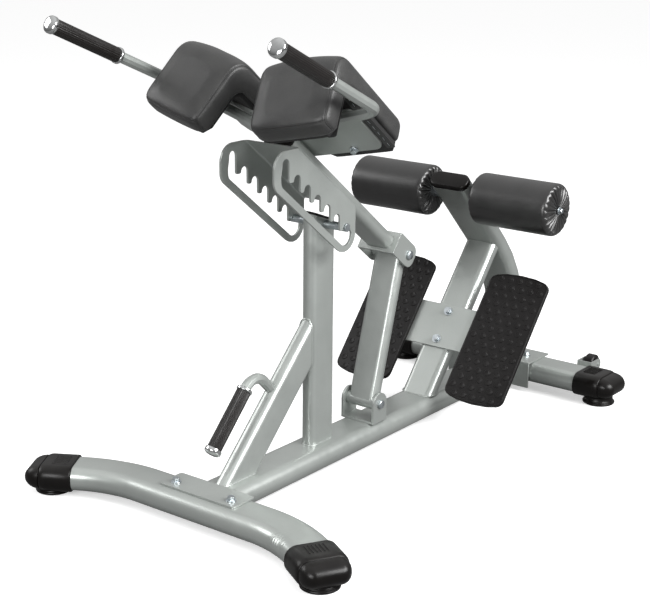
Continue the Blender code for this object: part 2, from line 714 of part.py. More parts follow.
def arm_tube(hinge):
    straight_tube("arm_tube", (ARM_FRONT, 0, 0), (-0.0575, 0, 0), ARM_WIDE, ARM_THICK, (0, 1, 0), parent=hinge)
    straight_tube("arm_end_cap", (ARM_FRONT - 0.005, 0, 0), (ARM_FRONT - GAP, 0, 0), ARM_WIDE, ARM_THICK,
                  (0, 1, 0), PLASTIC, hinge)


def arm_clevis(hinge):
    """U bracket on the end of the arm, open towards the link."""
    ear = rounded([(-0.057, -0.025), (0.025, -0.025), (0.025, 0.026), (-0.057, 0.026)], [0, 0.020, 0.020, 0.004], 6)
    block = baked(sheet("arm_clevis", ear, 2 * CLEVIS_HALF, SILVER, frame((0, 0, 0), (1, 0, 0), (0, 0, 1)), hinge))
    room = bmesh.new()
    bmesh.ops.create_cube(room, size=1.0)
    bmesh.ops.scale(room, vec=(0.2, 2 * (CLEVIS_HALF - CLEVIS_SHEET), 0.2), verts=room.verts)
    inside = add("arm_clevis_room", mesh_from("arm_clevis_room", room), SILVER,
                 Matrix.Translation((-0.057 + CLEVIS_SHEET + 0.1, 0, 0)), hinge)
    boolean(block, inside, 'DIFFERENCE')
    bore = rod("arm_clevis_bore", BOLT_RADIUS + GAP, 0.2, SILVER, at_y(0, 0, 0), hinge)
    boolean(block, bore, 'DIFFERENCE')
    pivot_bolt("arm_pivot_bolt", CLEVIS_HALF, at_y(0, 0, 0), hinge)


def notch_x(index):
    """Centre of a notch at rest; the last one holds the pin."""
    return PIN_X - NOTCH_PITCH * (NOTCHES - 1 - index)


def rise_at(x, offset):
    """Height of the line that runs at a given offset beside the arm."""
    along = (x - ARM_PIVOT.x - offset * math.sin(ARM_SLOPE)) / math.cos(ARM_SLOPE)
    return ARM_PIVOT.z - along * math.sin(ARM_SLOPE) + offset * math.cos(ARM_SLOPE)


def ladder_window():
    """Slot along the comb with seven upright notches in its upper edge."""
    seat = in_arm(PIN_X, PIN_Z)[1] + 0.0005
    points = []
    tip = -0.0832
    for k in range(NOTCHES):
        x = notch_x(k) - (0.0030 if k == 0 else 0.0)
        top = rise_at(x, seat) - 0.0018 + (0.0085 if k == 0 else 0.0)
        left = x - NOTCH_RADIUS
        right = x + NOTCH_RADIUS
        low = rise_at(x - NOTCH_PITCH / 2, tip)
        if k == 0:
            points.append((left - 0.0040, top - 0.024))
            points.append((left - 0.0005, top - 0.006))
        else:
            points.append((left - 0.0022, low))
        for step in range(9):
            turn = math.pi * (1 - step / 8)
            points.append((x + NOTCH_RADIUS * math.cos(turn), top + NOTCH_RADIUS * math.sin(turn)))
        low = rise_at(notch_x(k) + NOTCH_PITCH / 2, tip)
        if k < NOTCHES - 1:
            points.append((right, low + 0.003))
            points.append((right + 0.0028, low))
    right = notch_x(NOTCHES - 1) + NOTCH_RADIUS
    points.append((right + 0.001, PIN_Z - 0.004))
    floor = -0.106
    side = right + 0.0065
    wall = notch_x(0) - 0.017
    corner = [(side, PIN_Z - 0.012), (side, rise_at(side, floor)), (wall, rise_at(wall, floor)),
              (wall, rise_at(wall, floor) + 0.040)]
    arcs = rounded(corner, [0.0, 0.020, 0.016, 0.0], 6)[:-1]
    points.extend((p.x, p.y) for p in arcs)
    return points


def ladder_outline():
    """Side view of the comb plates and the web that joins them."""
    rear = PIN_X + 0.031
    front = -0.408
    top = 0.723
    lower = -0.1205
    upper = -0.010
    reach = (top - rise_at(0.0, upper)) / -math.tan(ARM_SLOPE)
    corners = [(rear, rise_at(rear, lower)), (rear, rise_at(rear, upper)), (reach, top),
               (front, top), (front, rise_at(front, lower))]
    return rounded(corners, [0.036, 0.0, 0.0, 0.036, 0.028], 7)


def ladder(hinge):
    """One folded sheet: a web under the arm and a notched comb down each side."""
    half = LADDER_HALF
    web = -ARM_THICK / 2 - GAP
    fold = 0.008
    section = rounded([(-half, -0.140), (-half, web), (half, web), (half, -0.140), (half - LADDER_SHEET, -0.140),
                       (half - LADDER_SHEET, web - LADDER_SHEET), (-half + LADDER_SHEET, web - LADDER_SHEET),
                       (-half + LADDER_SHEET, -0.140)],
                      [0, fold, fold, 0, 0, fold - LADDER_SHEET, fold - LADDER_SHEET, 0], 4)
    place = frame((-0.400, 0, 0), (0, 1, 0), (0, 0, 1))
    channel = baked(sheet("ladder", section, 0.50, SILVER, place, hinge))
    level = ALONG_Y.inverted()
    outline = [in_arm(*p) for p in ladder_outline()]
    shape = baked(sheet("ladder_outline", outline, 0.30, SILVER, frame((0, 0, 0), (1, 0, 0), (0, 0, 1)), hinge))
    boolean(channel, shape, 'INTERSECT')
    hole = [in_arm(*p) for p in ladder_window()]
    window = baked(sheet("ladder_window", hole, 0.30, SILVER, frame((0, 0, 0), (1, 0, 0), (0, 0, 1)), hinge))
    boolean(channel, window, 'DIFFERENCE')
    return channel


# Hip pads and their handles

def pad_frames(hinge):
    frames = {}
    for side, label in ((-1, "near"), (1, "far")):
        tilt = bpy.data.objects.new("pad_tilt_" + label, None)
        BENCH.objects.link(tilt)
        tilt.parent = hinge
        tilt.rotation_euler = (side * PAD_TILT, 0.0, 0.0)
        frames[label] = (side, tilt)
    return frames


def pad_ring(inset, crown):
    """Section of the right-angled cushion, drawn in by an inset and swelled by its crown."""
    front = PAD_FRONT - crown + inset
    top = PAD_TOP + crown + inset * -1.0
    rear = PAD_REAR - inset
    low = PAD_LOW + inset
    board = PAD_TOP - PAD_THICK
    inner = PAD_FRONT + PAD_THICK
    corners = [(rear, board), (rear, top), (front, top), (front, low), (inner, low), (inner, board)]
    return rounded(corners, [0.004, 0.013, 0.034, 0.013, 0.004, 0.004], 5)


def hip_pad(label, side, tilt):
    soft = 0.014
    stations = []
    for k in range(5):
        turn = math.radians(90 * k / 4)
        stations.append((PAD_INNER + soft * (1 - math.sin(turn)), soft * (1 - math.cos(turn)) * 0.8))
    stations.reverse()
    stations = [(w, inset) for w, inset in stations]
    span = PAD_OUTER - PAD_INNER
    inner = [(w, i) for w, i in sorted(stations)]
    middle = [(PAD_INNER + soft + (span - 2 * soft) * k / 7, 0.0) for k in range(1, 7)]
    outer = [(PAD_INNER + PAD_OUTER - w, i) for w, i in reversed(inner)]
    bm = bmesh.new()
    rings = []
    for w, inset in inner + middle + outer:
        part = (w - PAD_INNER) / span
        crown = 0.0045 * (1 - (2 * part - 1) ** 2)
        rings.append([bm.verts.new((p.x, side * w, p.y)) for p in pad_ring(inset, crown)])
    count = len(rings[0])
    for one, two in zip(rings, rings[1:]):
        for k in range(count):
            bm.faces.new((one[k], one[(k + 1) % count], two[(k + 1) % count], two[k]))
    bm.faces.new(rings[0])
    bm.faces.new(rings[-1])
    bmesh.ops.triangulate(bm, faces=[f for f in bm.faces if len(f.verts) > 4])
    add("hip_pad_" + label, mesh_from("hip_pad_" + label, bm, 55), VINYL, None, tilt)


def pad_board(label, side, tilt):
    """Right-angled backing board inside the cushion's bend."""
    top = PAD_TOP - PAD_THICK - GAP
    front = PAD_FRONT + PAD_THICK + GAP
    thick = BOARD_THICK
    corners = [(PAD_REAR + 0.007, top), (front, top), (front, PAD_LOW + 0.004), (front + thick, PAD_LOW + 0.004),
               (front + thick, top - thick), (PAD_REAR + 0.007, top - thick)]
    outline = rounded(corners, [0.003, 0.004, 0.003, 0.003, 0.008, 0.003], 4)
    wide = PAD_OUTER - PAD_INNER - 0.018
    sheet("pad_board_" + label, outline, wide, BOARD,
          frame((0, side * (PAD_INNER + PAD_OUTER) / 2, 0), (1, 0, 0), (0, 0, 1)), tilt)


def pad_plate(label, side, tilt):
    """Steel plate under each pad, its inner edge welded along the arm."""
    corners = [(-0.545, 0.0265), (-0.401, 0.0265), (-0.401, 0.186), (-0.545, 0.186)]
    outline = [(p.x, side * p.y) for p in rounded(corners, [0.002, 0.002, 0.022, 0.012], 5)]
    sheet("pad_plate_" + label, outline, 0.0047, SILVER, Matrix.Translation((0, 0, PLATE_UNDER + 0.00235)), tilt)
    place = frame((-0.411, side * 0.122, PLATE_UNDER), (1, 0, 0), (0, -1, 0))
    hex_bolt("pad_bolt_" + label, place, 0.011, 0.009, tilt)


def handle(label, side, tilt):
    """Bent tube from the plate out and forward beside the pad."""
    root = Vector((-0.524, side * 0.044, -0.0006))
    corner = Vector((-0.549, side * 0.250, -0.0016))
    ring = Vector((-0.736, side * 0.2525, -0.0500))
    tip = corner + (ring - corner).normalized() * 0.353
    path = bent_path((root, corner, tip), (0, 0.034, 0), math.radians(13))
    round_tube("handle_tube_" + label, path, HANDLE_RADIUS, SILVER, None, tilt, 3)
    grip_set("handle_" + label, tip, tip + (corner - tip).normalized() * 0.162, tilt)


# Transport wheels

def wheel_bracket(label, side):
    """U bracket on the back of the rear tube with its axle pin."""
    back = REAR_X + FLOOR_TUBE_WIDE / 2 + GAP
    half = WHEEL_WIDE / 2 + 0.0042
    outer = half + 0.003
    end = WHEEL_X + 0.012
    corners = [(back, -outer), (end, -outer), (end, -half), (back + 0.003, -half), (back + 0.003, half),
               (end, half), (end, outer), (back, outer)]
    bracket = baked(sheet("wheel_bracket_" + label, corners, 0.026, SILVER,
                          Matrix.Translation((0, side * WHEEL_Y, WHEEL_Z))))
    bm = bmesh.new()
    bm.from_mesh(bracket.data)
    rear = [e for e in bm.edges if all(v.co.x > end - 0.001 for v in e.verts)
            and abs(e.verts[0].co.y - e.verts[1].co.y) > 0.001]
    bmesh.ops.bevel(bm, geom=rear, offset=0.011, segments=4, profile=0.5, affect='EDGES')
    bm.to_mesh(bracket.data)
    bm.free()
    pin = rod("wheel_pin_" + label, 0.004, 2 * outer + 0.003, ZINC, at_y(WHEEL_X, side * WHEEL_Y, WHEEL_Z),
              sides=16)
    boolean(bracket, pin, 'UNION')


def transport_wheel(label, side):
    half = WHEEL_WIDE / 2
    profile = [(0.0045, half), (WHEEL_RADIUS - 0.003, half), (WHEEL_RADIUS, half - 0.003),
               (WHEEL_RADIUS, -half + 0.003), (WHEEL_RADIUS - 0.003, -half), (0.0045, -half)]
    turned("transport_wheel_" + label, profile, RUBBER, at_y(WHEEL_X, side * WHEEL_Y, WHEEL_Z), steps=24)


def build():
    base_rail()
    front_stabiliser()
    rear_stabiliser()
    foot_caps()
    front_plate()
    rear_saddle()
    column()
    front_strut()
    carry_handle()
    rear_post()
    roller_axle()
    foot_plates()
    link_clevis()
    swing_link()
    hinge = arm_hinge()
    arm_tube(hinge)
    arm_clevis(hinge)
    ladder(hinge)
    for label, (side, tilt) in pad_frames(hinge).items():
        hip_pad(label, side, tilt)
        pad_board(label, side, tilt)
        pad_plate(label, side, tilt)
        handle(label, side, tilt)
    for label, side in (("near", -1), ("far", 1)):
        ankle_roller(label, side)
        wheel_bracket(label, side)
        transport_wheel(label, side)


build()
print("bench built")
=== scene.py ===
# %% [markdown]
# # Dressing a hyperextension bench
# A hyperextension bench holds the hips and ankles while the upper body bends over it. A packed
# model of one stands at the origin, in metres: tubes, folded ladder, pads, rollers and joints. It
# is loaded as a fixed frame, and nothing in it is moved or reshaped. This lesson gives it its looks
# step by step: paint, plating, vinyl and rubber, sewn pads, gathered rollers, studs and weld beads,
# then a floor, light and a camera.

import json
import math

import bmesh
import bpy
from mathutils import Matrix, Vector
from mathutils.bvhtree import BVHTree
from mathutils.kdtree import KDTree

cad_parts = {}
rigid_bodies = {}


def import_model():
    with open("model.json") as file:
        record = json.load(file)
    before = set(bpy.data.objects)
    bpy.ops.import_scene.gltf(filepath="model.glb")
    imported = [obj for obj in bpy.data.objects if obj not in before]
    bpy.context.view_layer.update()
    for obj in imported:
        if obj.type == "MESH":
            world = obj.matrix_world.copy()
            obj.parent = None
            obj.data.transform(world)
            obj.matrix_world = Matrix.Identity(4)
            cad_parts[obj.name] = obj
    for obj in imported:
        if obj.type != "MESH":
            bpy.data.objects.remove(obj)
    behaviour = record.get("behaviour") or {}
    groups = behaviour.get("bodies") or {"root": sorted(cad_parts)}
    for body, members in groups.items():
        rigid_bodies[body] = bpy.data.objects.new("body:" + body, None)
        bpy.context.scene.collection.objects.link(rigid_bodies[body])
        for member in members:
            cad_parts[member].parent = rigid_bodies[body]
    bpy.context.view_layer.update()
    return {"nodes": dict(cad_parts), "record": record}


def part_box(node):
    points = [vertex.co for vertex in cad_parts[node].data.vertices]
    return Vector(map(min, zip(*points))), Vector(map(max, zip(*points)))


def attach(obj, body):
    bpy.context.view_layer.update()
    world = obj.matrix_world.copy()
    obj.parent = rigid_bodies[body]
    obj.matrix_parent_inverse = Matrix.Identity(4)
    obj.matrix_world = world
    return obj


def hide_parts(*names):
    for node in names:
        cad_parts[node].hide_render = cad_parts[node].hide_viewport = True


for left_over in list(bpy.data.objects):
    bpy.data.objects.remove(left_over, do_unlink=True)
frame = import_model()
nodes = frame["nodes"]

# %% [markdown]
# ## The camera
# The photograph looks at the bench from its front left and a little above, through a fairly long
# lens. A camera set by eye drifts: one end fits while the other slides off. This one was worked out
# from the bench's own right angles and equal parts, which give its place, its three turns and its
# focal length, so the model falls on the picture all over.

# %% Set up the camera
CAMERA_SPOT = Vector((-2.5358, -1.8231, 1.2445))
CAMERA_YAW = math.radians(52.528)
CAMERA_PITCH = math.radians(16.596)
CAMERA_ROLL = math.radians(0.522)
LENS = 82.52
SENSOR_WIDTH = 36.0


def aim_camera():
    """Camera with its own right, up and back directions worked out from yaw, pitch and roll."""
    ahead = Vector((math.sin(CAMERA_YAW) * math.cos(CAMERA_PITCH),
                    math.cos(CAMERA_YAW) * math.cos(CAMERA_PITCH), -math.sin(CAMERA_PITCH)))
    level = Vector((math.cos(CAMERA_YAW), -math.sin(CAMERA_YAW), 0.0))
    upright = level.cross(ahead)
    right = level * math.cos(CAMERA_ROLL) + upright * math.sin(CAMERA_ROLL)
    up = upright * math.cos(CAMERA_ROLL) - level * math.sin(CAMERA_ROLL)
    data = bpy.data.cameras.new("camera")
    data.lens = LENS
    data.sensor_width = SENSOR_WIDTH
    camera = bpy.data.objects.new("camera", data)
    bpy.context.scene.collection.objects.link(camera)
    turn = Matrix((right, up, -ahead)).transposed().to_4x4()
    camera.matrix_world = Matrix.Translation(CAMERA_SPOT) @ turn
    bpy.context.scene.camera = camera
    return camera


print("camera at", [round(v, 3) for v in aim_camera().location])

# %% [markdown]
# ## Small tools for shader nodes
# Every finish below is a network of nodes, and a network written out node by node is long to read.
# Small helpers take up what repeats: one adds a node and fills its sockets with numbers or links,
# others open and place a node group, do a step of arithmetic, stretch a value or mix two colours.
# Patterns start from the place on the piece itself in metres, so that a pattern keeps its size on a
# long tube and on a small bolt.

# %% Node helpers
def put(tree, kind, sockets=None, **settings):
    """Add a node, with its settings, and numbers or links for its sockets."""
    made = tree.nodes.new(kind)
    for key, value in settings.items():
        setattr(made, key, value)
    for key, value in (sockets or {}).items():
        if isinstance(value, bpy.types.NodeSocket):
            tree.links.new(value, made.inputs[key])
        else:
            made.inputs[key].default_value = value
    return made


def open_group(name, inputs, outputs):
    """Shader node group with named number inputs, their usual values, and named number outputs."""
    tree = bpy.data.node_groups.new(name, 'ShaderNodeTree')
    for label, value in inputs.items():
        socket = tree.interface.new_socket(name=label, in_out='INPUT', socket_type='NodeSocketFloat')
        socket.default_value = value
    for label in outputs:
        tree.interface.new_socket(name=label, in_out='OUTPUT', socket_type='NodeSocketFloat')
    return tree, tree.nodes.new('NodeGroupInput').outputs, tree.nodes.new('NodeGroupOutput').inputs


def use_group(tree, group, **values):
    """Place a group in a material, with this material's own numbers."""
    placed = tree.nodes.new('ShaderNodeGroup')
    placed.node_tree = group
    for key, value in values.items():
        placed.inputs[key.replace("_", " ")].default_value = value
    return placed.outputs


def sums(tree, operation, first, second=0.0, clamp=False):
    """One step of arithmetic on two values."""
    return put(tree, 'ShaderNodeMath', {0: first, 1: second}, operation=operation,
               use_clamp=clamp).outputs[0]


def spread(tree, value, low, high, from_low=0.0, from_high=1.0):
    """Stretch a value between two ends."""
    return put(tree, 'ShaderNodeMapRange', {"Value": value, "From Min": from_low, "From Max": from_high,
                                            "To Min": low, "To Max": high}).outputs["Result"]


def tint(tree, mask, first, second):
    """Colour that goes from the first to the second with a mask."""
    mixed = put(tree, 'ShaderNodeMix', {"Factor": mask}, data_type='RGBA')
    for socket, colour in ((mixed.inputs[6], first), (mixed.inputs[7], second)):
        if isinstance(colour, bpy.types.NodeSocket):
            tree.links.new(colour, socket)
        else:
            socket.default_value = (*colour, 1.0)
    return mixed.outputs[2]


def own_spot(tree):
    """Place on the piece itself, in metres, so that patterns keep their size."""
    return put(tree, 'ShaderNodeTexCoord').outputs["Object"]


def noise(tree, spot, scale, detail, roughness=0.5):
    """Cloudy noise between 0 and 1."""
    return put(tree, 'ShaderNodeTexNoise', {"Vector": spot, "Scale": scale, "Detail": detail,
                                            "Roughness": roughness}).outputs[0]


print("node helpers ready")

# %% [markdown]
# ## Effects that several finishes share
# Real surfaces are never even. Four groups give that unevenness: fine grain, rubbed edges, dust that settles
# on level faces, and the pebbled skin of vinyl. The edge mask also serves as a painted highlight along the
# edges, and the creases of the pebbled skin are darkened as painted shade. Painted images could do it too,
# but they need unwrapped pieces and go soft when seen close. Each group is built once and gives out masks,
# heights and values only. The colours and amounts are left to the finish that uses it.

# %% Build the grain group
def grain_group():
    """Two sizes of noise mixed in one value, and the broad one by itself."""
    tree, given, out = open_group("fine_grain", {"Scale": 400.0, "Broad Scale": 14.0, "Broad Share": 0.4},
                                  ("Value", "Broad"))
    spot = own_spot(tree)
    fine = noise(tree, spot, given["Scale"], 3.0, 0.6)
    broad = noise(tree, spot, given["Broad Scale"], 4.0, 0.55)
    mixed = put(tree, 'ShaderNodeMix', {"Factor": given["Broad Share"], 2: fine, 3: broad}).outputs[0]
    tree.links.new(mixed, out["Value"])
    tree.links.new(spread(tree, broad, 0.0, 1.0, 0.35, 0.65), out["Broad"])
    return tree


GRAIN = grain_group()
print("group:", GRAIN.name)

# %% [markdown]
# ### Rubbed edges and painted edge highlight
# Paint and plating wear thin first where a hand or a shoe meets an edge. A mask painted by hand would have to
# be done again for each piece. The bevel node gives a rounded normal, which differs from the real one only
# near an edge, so the mask finds the edges by itself. Noise breaks it up, since wear is never a clean line.
# The finishes lighten their colour with this mask, so it is partly wear and partly a painted highlight along
# the edges.

# %% Build the edge wear and painted highlight group
def edge_group():
    """Mask of the sharp edges, broken up by noise."""
    tree, given, out = open_group("edge_wear_and_painted_highlight", {"Width": 0.0015, "Noise Scale": 60.0}, ("Mask",))
    spot = own_spot(tree)
    round_normal = put(tree, 'ShaderNodeBevel', {"Radius": given["Width"]}, samples=4).outputs[0]
    own_normal = put(tree, 'ShaderNodeNewGeometry').outputs["Normal"]
    alike = put(tree, 'ShaderNodeVectorMath', {0: round_normal, 1: own_normal},
                operation='DOT_PRODUCT').outputs["Value"]
    edge = spread(tree, alike, 1.0, 0.0, 0.80, 0.99)
    patch = noise(tree, spot, given["Noise Scale"], 3.0)
    broken = spread(tree, patch, 0.35, 1.0, 0.35, 0.6)
    tree.links.new(sums(tree, 'MULTIPLY', edge, broken, clamp=True), out["Mask"])
    return tree


EDGE_WEAR_HIGHLIGHT = edge_group()
print("group:", EDGE_WEAR_HIGHLIGHT.name)

# %% [markdown]
# ### Settled dust
# Dust lies on what faces up, in soft patches, and hardly at all on a wall. The upward part of the
# normal gives that for every piece at once, and broad noise makes the patches. Each finish keeps it
# faint, for the bench is clean.

# %% Build the dust group
def dust_group():
    """Mask that is strongest on level faces, in soft patches."""
    tree, given, out = open_group("settled_dust", {"Amount": 0.2, "Patch Scale": 9.0}, ("Mask",))
    spot = own_spot(tree)
    normal = put(tree, 'ShaderNodeNewGeometry').outputs["Normal"]
    upward = put(tree, 'ShaderNodeSeparateXYZ', {0: normal}).outputs["Z"]
    level = spread(tree, upward, 0.0, 1.0, 0.55, 1.0)
    patch = noise(tree, spot, given["Patch Scale"], 5.0)
    soft = spread(tree, patch, 0.2, 1.0, 0.35, 0.7)
    amount = sums(tree, 'MULTIPLY', sums(tree, 'MULTIPLY', level, soft), given["Amount"], clamp=True)
    tree.links.new(amount, out["Mask"])
    return tree


DUST = dust_group()
print("group:", DUST.name)

# %% [markdown]
# ### Pebbled skin
# Vinyl is pressed with small pebbles and thin creases between them. Plain noise looks like sand, so cells are
# used, and their places are pushed about a little so that no grid shows. The group gives the height of the
# pebbles, a mask of the creases between them, which the finishes darken as painted shade, and a slow wave for
# the slack in the cover.

# %% Build the pebbled skin group
def skin_group():
    """Pebbles with creases between them, and slow waves under them."""
    tree, given, out = open_group("pebbled_skin", {"Scale": 700.0, "Wave Scale": 22.0},
                                  ("Height", "Crease", "Wave"))
    spot = own_spot(tree)
    warp = put(tree, 'ShaderNodeTexNoise', {"Vector": spot, "Scale": 160.0, "Detail": 2.0}).outputs["Color"]
    push = put(tree, 'ShaderNodeVectorMath', {0: warp, 3: 0.0022}, operation='SCALE').outputs[0]
    bent = put(tree, 'ShaderNodeVectorMath', {0: spot, 1: push}, operation='ADD').outputs[0]
    cell = put(tree, 'ShaderNodeTexVoronoi', {"Vector": bent, "Scale": given["Scale"]},
               feature='DISTANCE_TO_EDGE').outputs["Distance"]
    pebble = spread(tree, cell, 0.0, 1.0, 0.0, 0.22)
    wave = noise(tree, spot, given["Wave Scale"], 3.0)
    tree.links.new(pebble, out["Height"])
    tree.links.new(sums(tree, 'SUBTRACT', 1.0, pebble, clamp=True), out["Crease"])
    tree.links.new(wave, out["Wave"])
    return tree


SKIN = skin_group()
print("group:", SKIN.name)

# %% [markdown]
# ## The painted tubes
# The frame is sprayed a silver grey with fine metal flakes in it. Seen close, the colour sparkles a little,
# the surface has the faint ripple of sprayed paint, and sharp edges are painted lighter, partly as wear where
# the coat is thin and partly as a painted highlight. Plain grey would look like plastic, and full metal like
# bare steel. So one shader is set partly metallic with a low coat on top, and noise drives its colour, its
# roughness and a shallow bump.

# %% Start of every finish
def start_finish(name, **constants):
    """Material with one Principled shader, its even values set on the shader itself."""
    material = bpy.data.materials.new(name)
    material.use_nodes = True
    tree = material.node_tree
    tree.nodes.clear()
    shader = tree.nodes.new('ShaderNodeBsdfPrincipled')
    end = tree.nodes.new('ShaderNodeOutputMaterial')
    tree.links.new(shader.outputs[0], end.inputs["Surface"])
    for key, value in constants.items():
        shader.inputs[key.replace("_", " ")].default_value = value
    return material, tree, shader.inputs


def raise_bumps(tree, shader, *layers, edge=0.0):
    """Chain of bumps over softly rounded edges, each a height with its depth in metres and strength."""
    normal = put(tree, 'ShaderNodeBevel', {"Radius": edge}, samples=4).outputs[0] if edge else None
    for height, depth, strength in layers:
        sockets = {"Height": height, "Distance": depth, "Strength": strength}
        if normal is not None:
            sockets["Normal"] = normal
        normal = put(tree, 'ShaderNodeBump', sockets).outputs[0]
    tree.links.new(normal, shader["Normal"])


print("finish helpers ready")

# %% [markdown]
# ### The silver grey itself
# The colour goes between a deep and a bright silver grey with the flakes, then to a lighter tone at the sharp
# edges, which is partly wear and partly a painted highlight, and to dust on level faces. The deep and the
# bright tone lie close together, since flakes this fine are felt more than they are seen.

# %% Paint
PAINT_DEEP = (0.355, 0.378, 0.362)
PAINT_BRIGHT = (0.430, 0.455, 0.436)
# Lighter edge tone: partly wear, partly a painted highlight.
PAINT_WORN_AND_HIGHLIGHT = (0.56, 0.58, 0.56)
PAINT_DUST = (0.46, 0.46, 0.44)


def silver_paint():
    """Partly metallic paint with flakes and a ripple, lighter at its edges as wear and as a painted
    highlight.
    """
    material, tree, shader = start_finish("silver_paint_finish", Metallic=0.60, Coat_Weight=0.35,
                                          Coat_Roughness=0.16)
    flakes = use_group(tree, GRAIN, Scale=2600.0, Broad_Scale=7.0, Broad_Share=0.45)
    ripple = use_group(tree, GRAIN, Scale=330.0, Broad_Scale=40.0, Broad_Share=0.3)
    wear_and_highlight = use_group(tree, EDGE_WEAR_HIGHLIGHT, Width=0.0014, Noise_Scale=45.0)
    dust = use_group(tree, DUST, Amount=0.10, Patch_Scale=11.0)
    sparkle = spread(tree, flakes["Value"], 0.0, 1.0, 0.38, 0.62)
    paint = tint(tree, sparkle, PAINT_DEEP, PAINT_BRIGHT)
    # Edges turn to a lighter tone: partly wear, partly a painted highlight.
    worn_and_highlit = tint(tree, sums(tree, 'MULTIPLY', wear_and_highlight["Mask"], 0.35), paint, PAINT_WORN_AND_HIGHLIGHT)
    tree.links.new(tint(tree, dust["Mask"], worn_and_highlit, PAINT_DUST), shader["Base Color"])
    tree.links.new(spread(tree, ripple["Broad"], 0.30, 0.38), shader["Roughness"])
    raise_bumps(tree, shader, (ripple["Value"], 0.00020, 0.08), edge=0.0010)
    return material


PAINT = silver_paint()
print("finish:", PAINT.name)

# %% [markdown]
# ## Plated steel
# The rings and domed ends of the grips are chrome, a mirror with a few smudges. Bolts, washers, the
# support pin and the roller axle are zinc plated, which is duller, bluish and cloudy. Both are full
# metal, and what tells them apart is mostly their roughness. Noise drives it, since an even mirror
# looks like a drawing of metal.

# %% Chrome and zinc
def chrome():
    """Mirror with a few cloudy smudges."""
    material, tree, shader = start_finish("chrome_finish", Metallic=1.0)
    marks = use_group(tree, GRAIN, Scale=900.0, Broad_Scale=55.0, Broad_Share=0.7)
    tree.links.new(tint(tree, marks["Broad"], (0.55, 0.56, 0.56), (0.66, 0.67, 0.67)), shader["Base Color"])
    tree.links.new(spread(tree, marks["Broad"], 0.045, 0.13), shader["Roughness"])
    raise_bumps(tree, shader, (marks["Value"], 0.00005, 0.08))
    return material


def zinc():
    """Duller, bluish plating with clouds, and edges lightened as wear and as a painted highlight."""
    material, tree, shader = start_finish("zinc_finish", Metallic=1.0)
    cloud = use_group(tree, GRAIN, Scale=1500.0, Broad_Scale=160.0, Broad_Share=0.5)
    wear_and_highlight = use_group(tree, EDGE_WEAR_HIGHLIGHT, Width=0.0006, Noise_Scale=200.0)
    plated = tint(tree, cloud["Broad"], (0.46, 0.50, 0.53), (0.60, 0.64, 0.66))
    # Edges lighten towards a pale tone: partly wear, partly a painted highlight.
    tree.links.new(tint(tree, wear_and_highlight["Mask"], plated, (0.78, 0.80, 0.81)), shader["Base Color"])
    tree.links.new(spread(tree, cloud["Value"], 0.20, 0.42), shader["Roughness"])
    raise_bumps(tree, shader, (cloud["Value"], 0.00006, 0.25), edge=0.0005)
    return material


CHROME = chrome()
ZINC = zinc()
print("finishes:", CHROME.name, ZINC.name)

# %% [markdown]
# ## Vinyl, thread and board
# The pads and rollers are covered in black vinyl, near black and satin, with fine pebbles pressed into it.
# The seams carry a thin welt and matt thread, and the board behind each pad is black pressed wood. The
# pebbles are too fine to model, so they are a bump made from cells with creases between them, over slow waves
# of slack that break up the highlights. The creases are also darkened in the colour, as painted shade. The
# roller's cover is smoother and darker than the pad's, so one function is called with other numbers.

# %% Vinyl
VINYL_DUST = (0.20, 0.20, 0.19)


def vinyl(name, dark, light, rough, pebble_depth, gloss):
    """Pebbled cover between two near blacks, with painted shade in its creases, and between the two
    roughnesses of its waves.
    """
    material, tree, shader = start_finish(name, Sheen_Weight=0.04, Sheen_Roughness=0.5,
                                          Specular_IOR_Level=gloss)
    skin = use_group(tree, SKIN, Scale=850.0, Wave_Scale=26.0)
    dust = use_group(tree, DUST, Amount=0.05, Patch_Scale=14.0)
    face = tint(tree, spread(tree, skin["Wave"], 0.0, 1.0, 0.35, 0.65), dark, light)
    # The creases between the pebbles are darkened: painted shade.
    crease_shaded = tint(tree, sums(tree, 'MULTIPLY', skin["Crease"], 0.55), face, tuple(0.45 * v for v in dark))
    tree.links.new(tint(tree, dust["Mask"], crease_shaded, VINYL_DUST), shader["Base Color"])
    tree.links.new(spread(tree, skin["Wave"], *rough, 0.3, 0.7), shader["Roughness"])
    raise_bumps(tree, shader, (skin["Wave"], 0.0012, 0.25), (skin["Height"], pebble_depth, 0.5))
    return material


PAD_VINYL = vinyl("pad_vinyl_finish", dark=(0.026, 0.026, 0.026), light=(0.038, 0.038, 0.037),
                  rough=(0.38, 0.48), pebble_depth=0.00014, gloss=0.50)
ROLLER_VINYL = vinyl("roller_vinyl_finish", dark=(0.0085, 0.0080, 0.0080), light=(0.0130, 0.0125, 0.0125),
                     rough=(0.31, 0.37), pebble_depth=0.00003, gloss=0.80)
WELT = vinyl("welt_finish", dark=(0.020, 0.020, 0.020), light=(0.030, 0.030, 0.030),
             rough=(0.35, 0.45), pebble_depth=0.00004, gloss=0.50)
print("covers:", PAD_VINYL.name, ROLLER_VINYL.name, WELT.name)

# %% [markdown]
# ### Dull blacks
# Thread, board, rubber and moulded plastic are all an even black with a fine tooth. One function
# makes them from a dark and a light tone, the size and depth of the tooth and a range of roughness.
# Sharp edges turn a little grey, partly as wear and partly as a painted highlight, because an even black
# shows no edges at all.

# %% Dull blacks for thread and board
BLACK_DUST = (0.17, 0.165, 0.16)


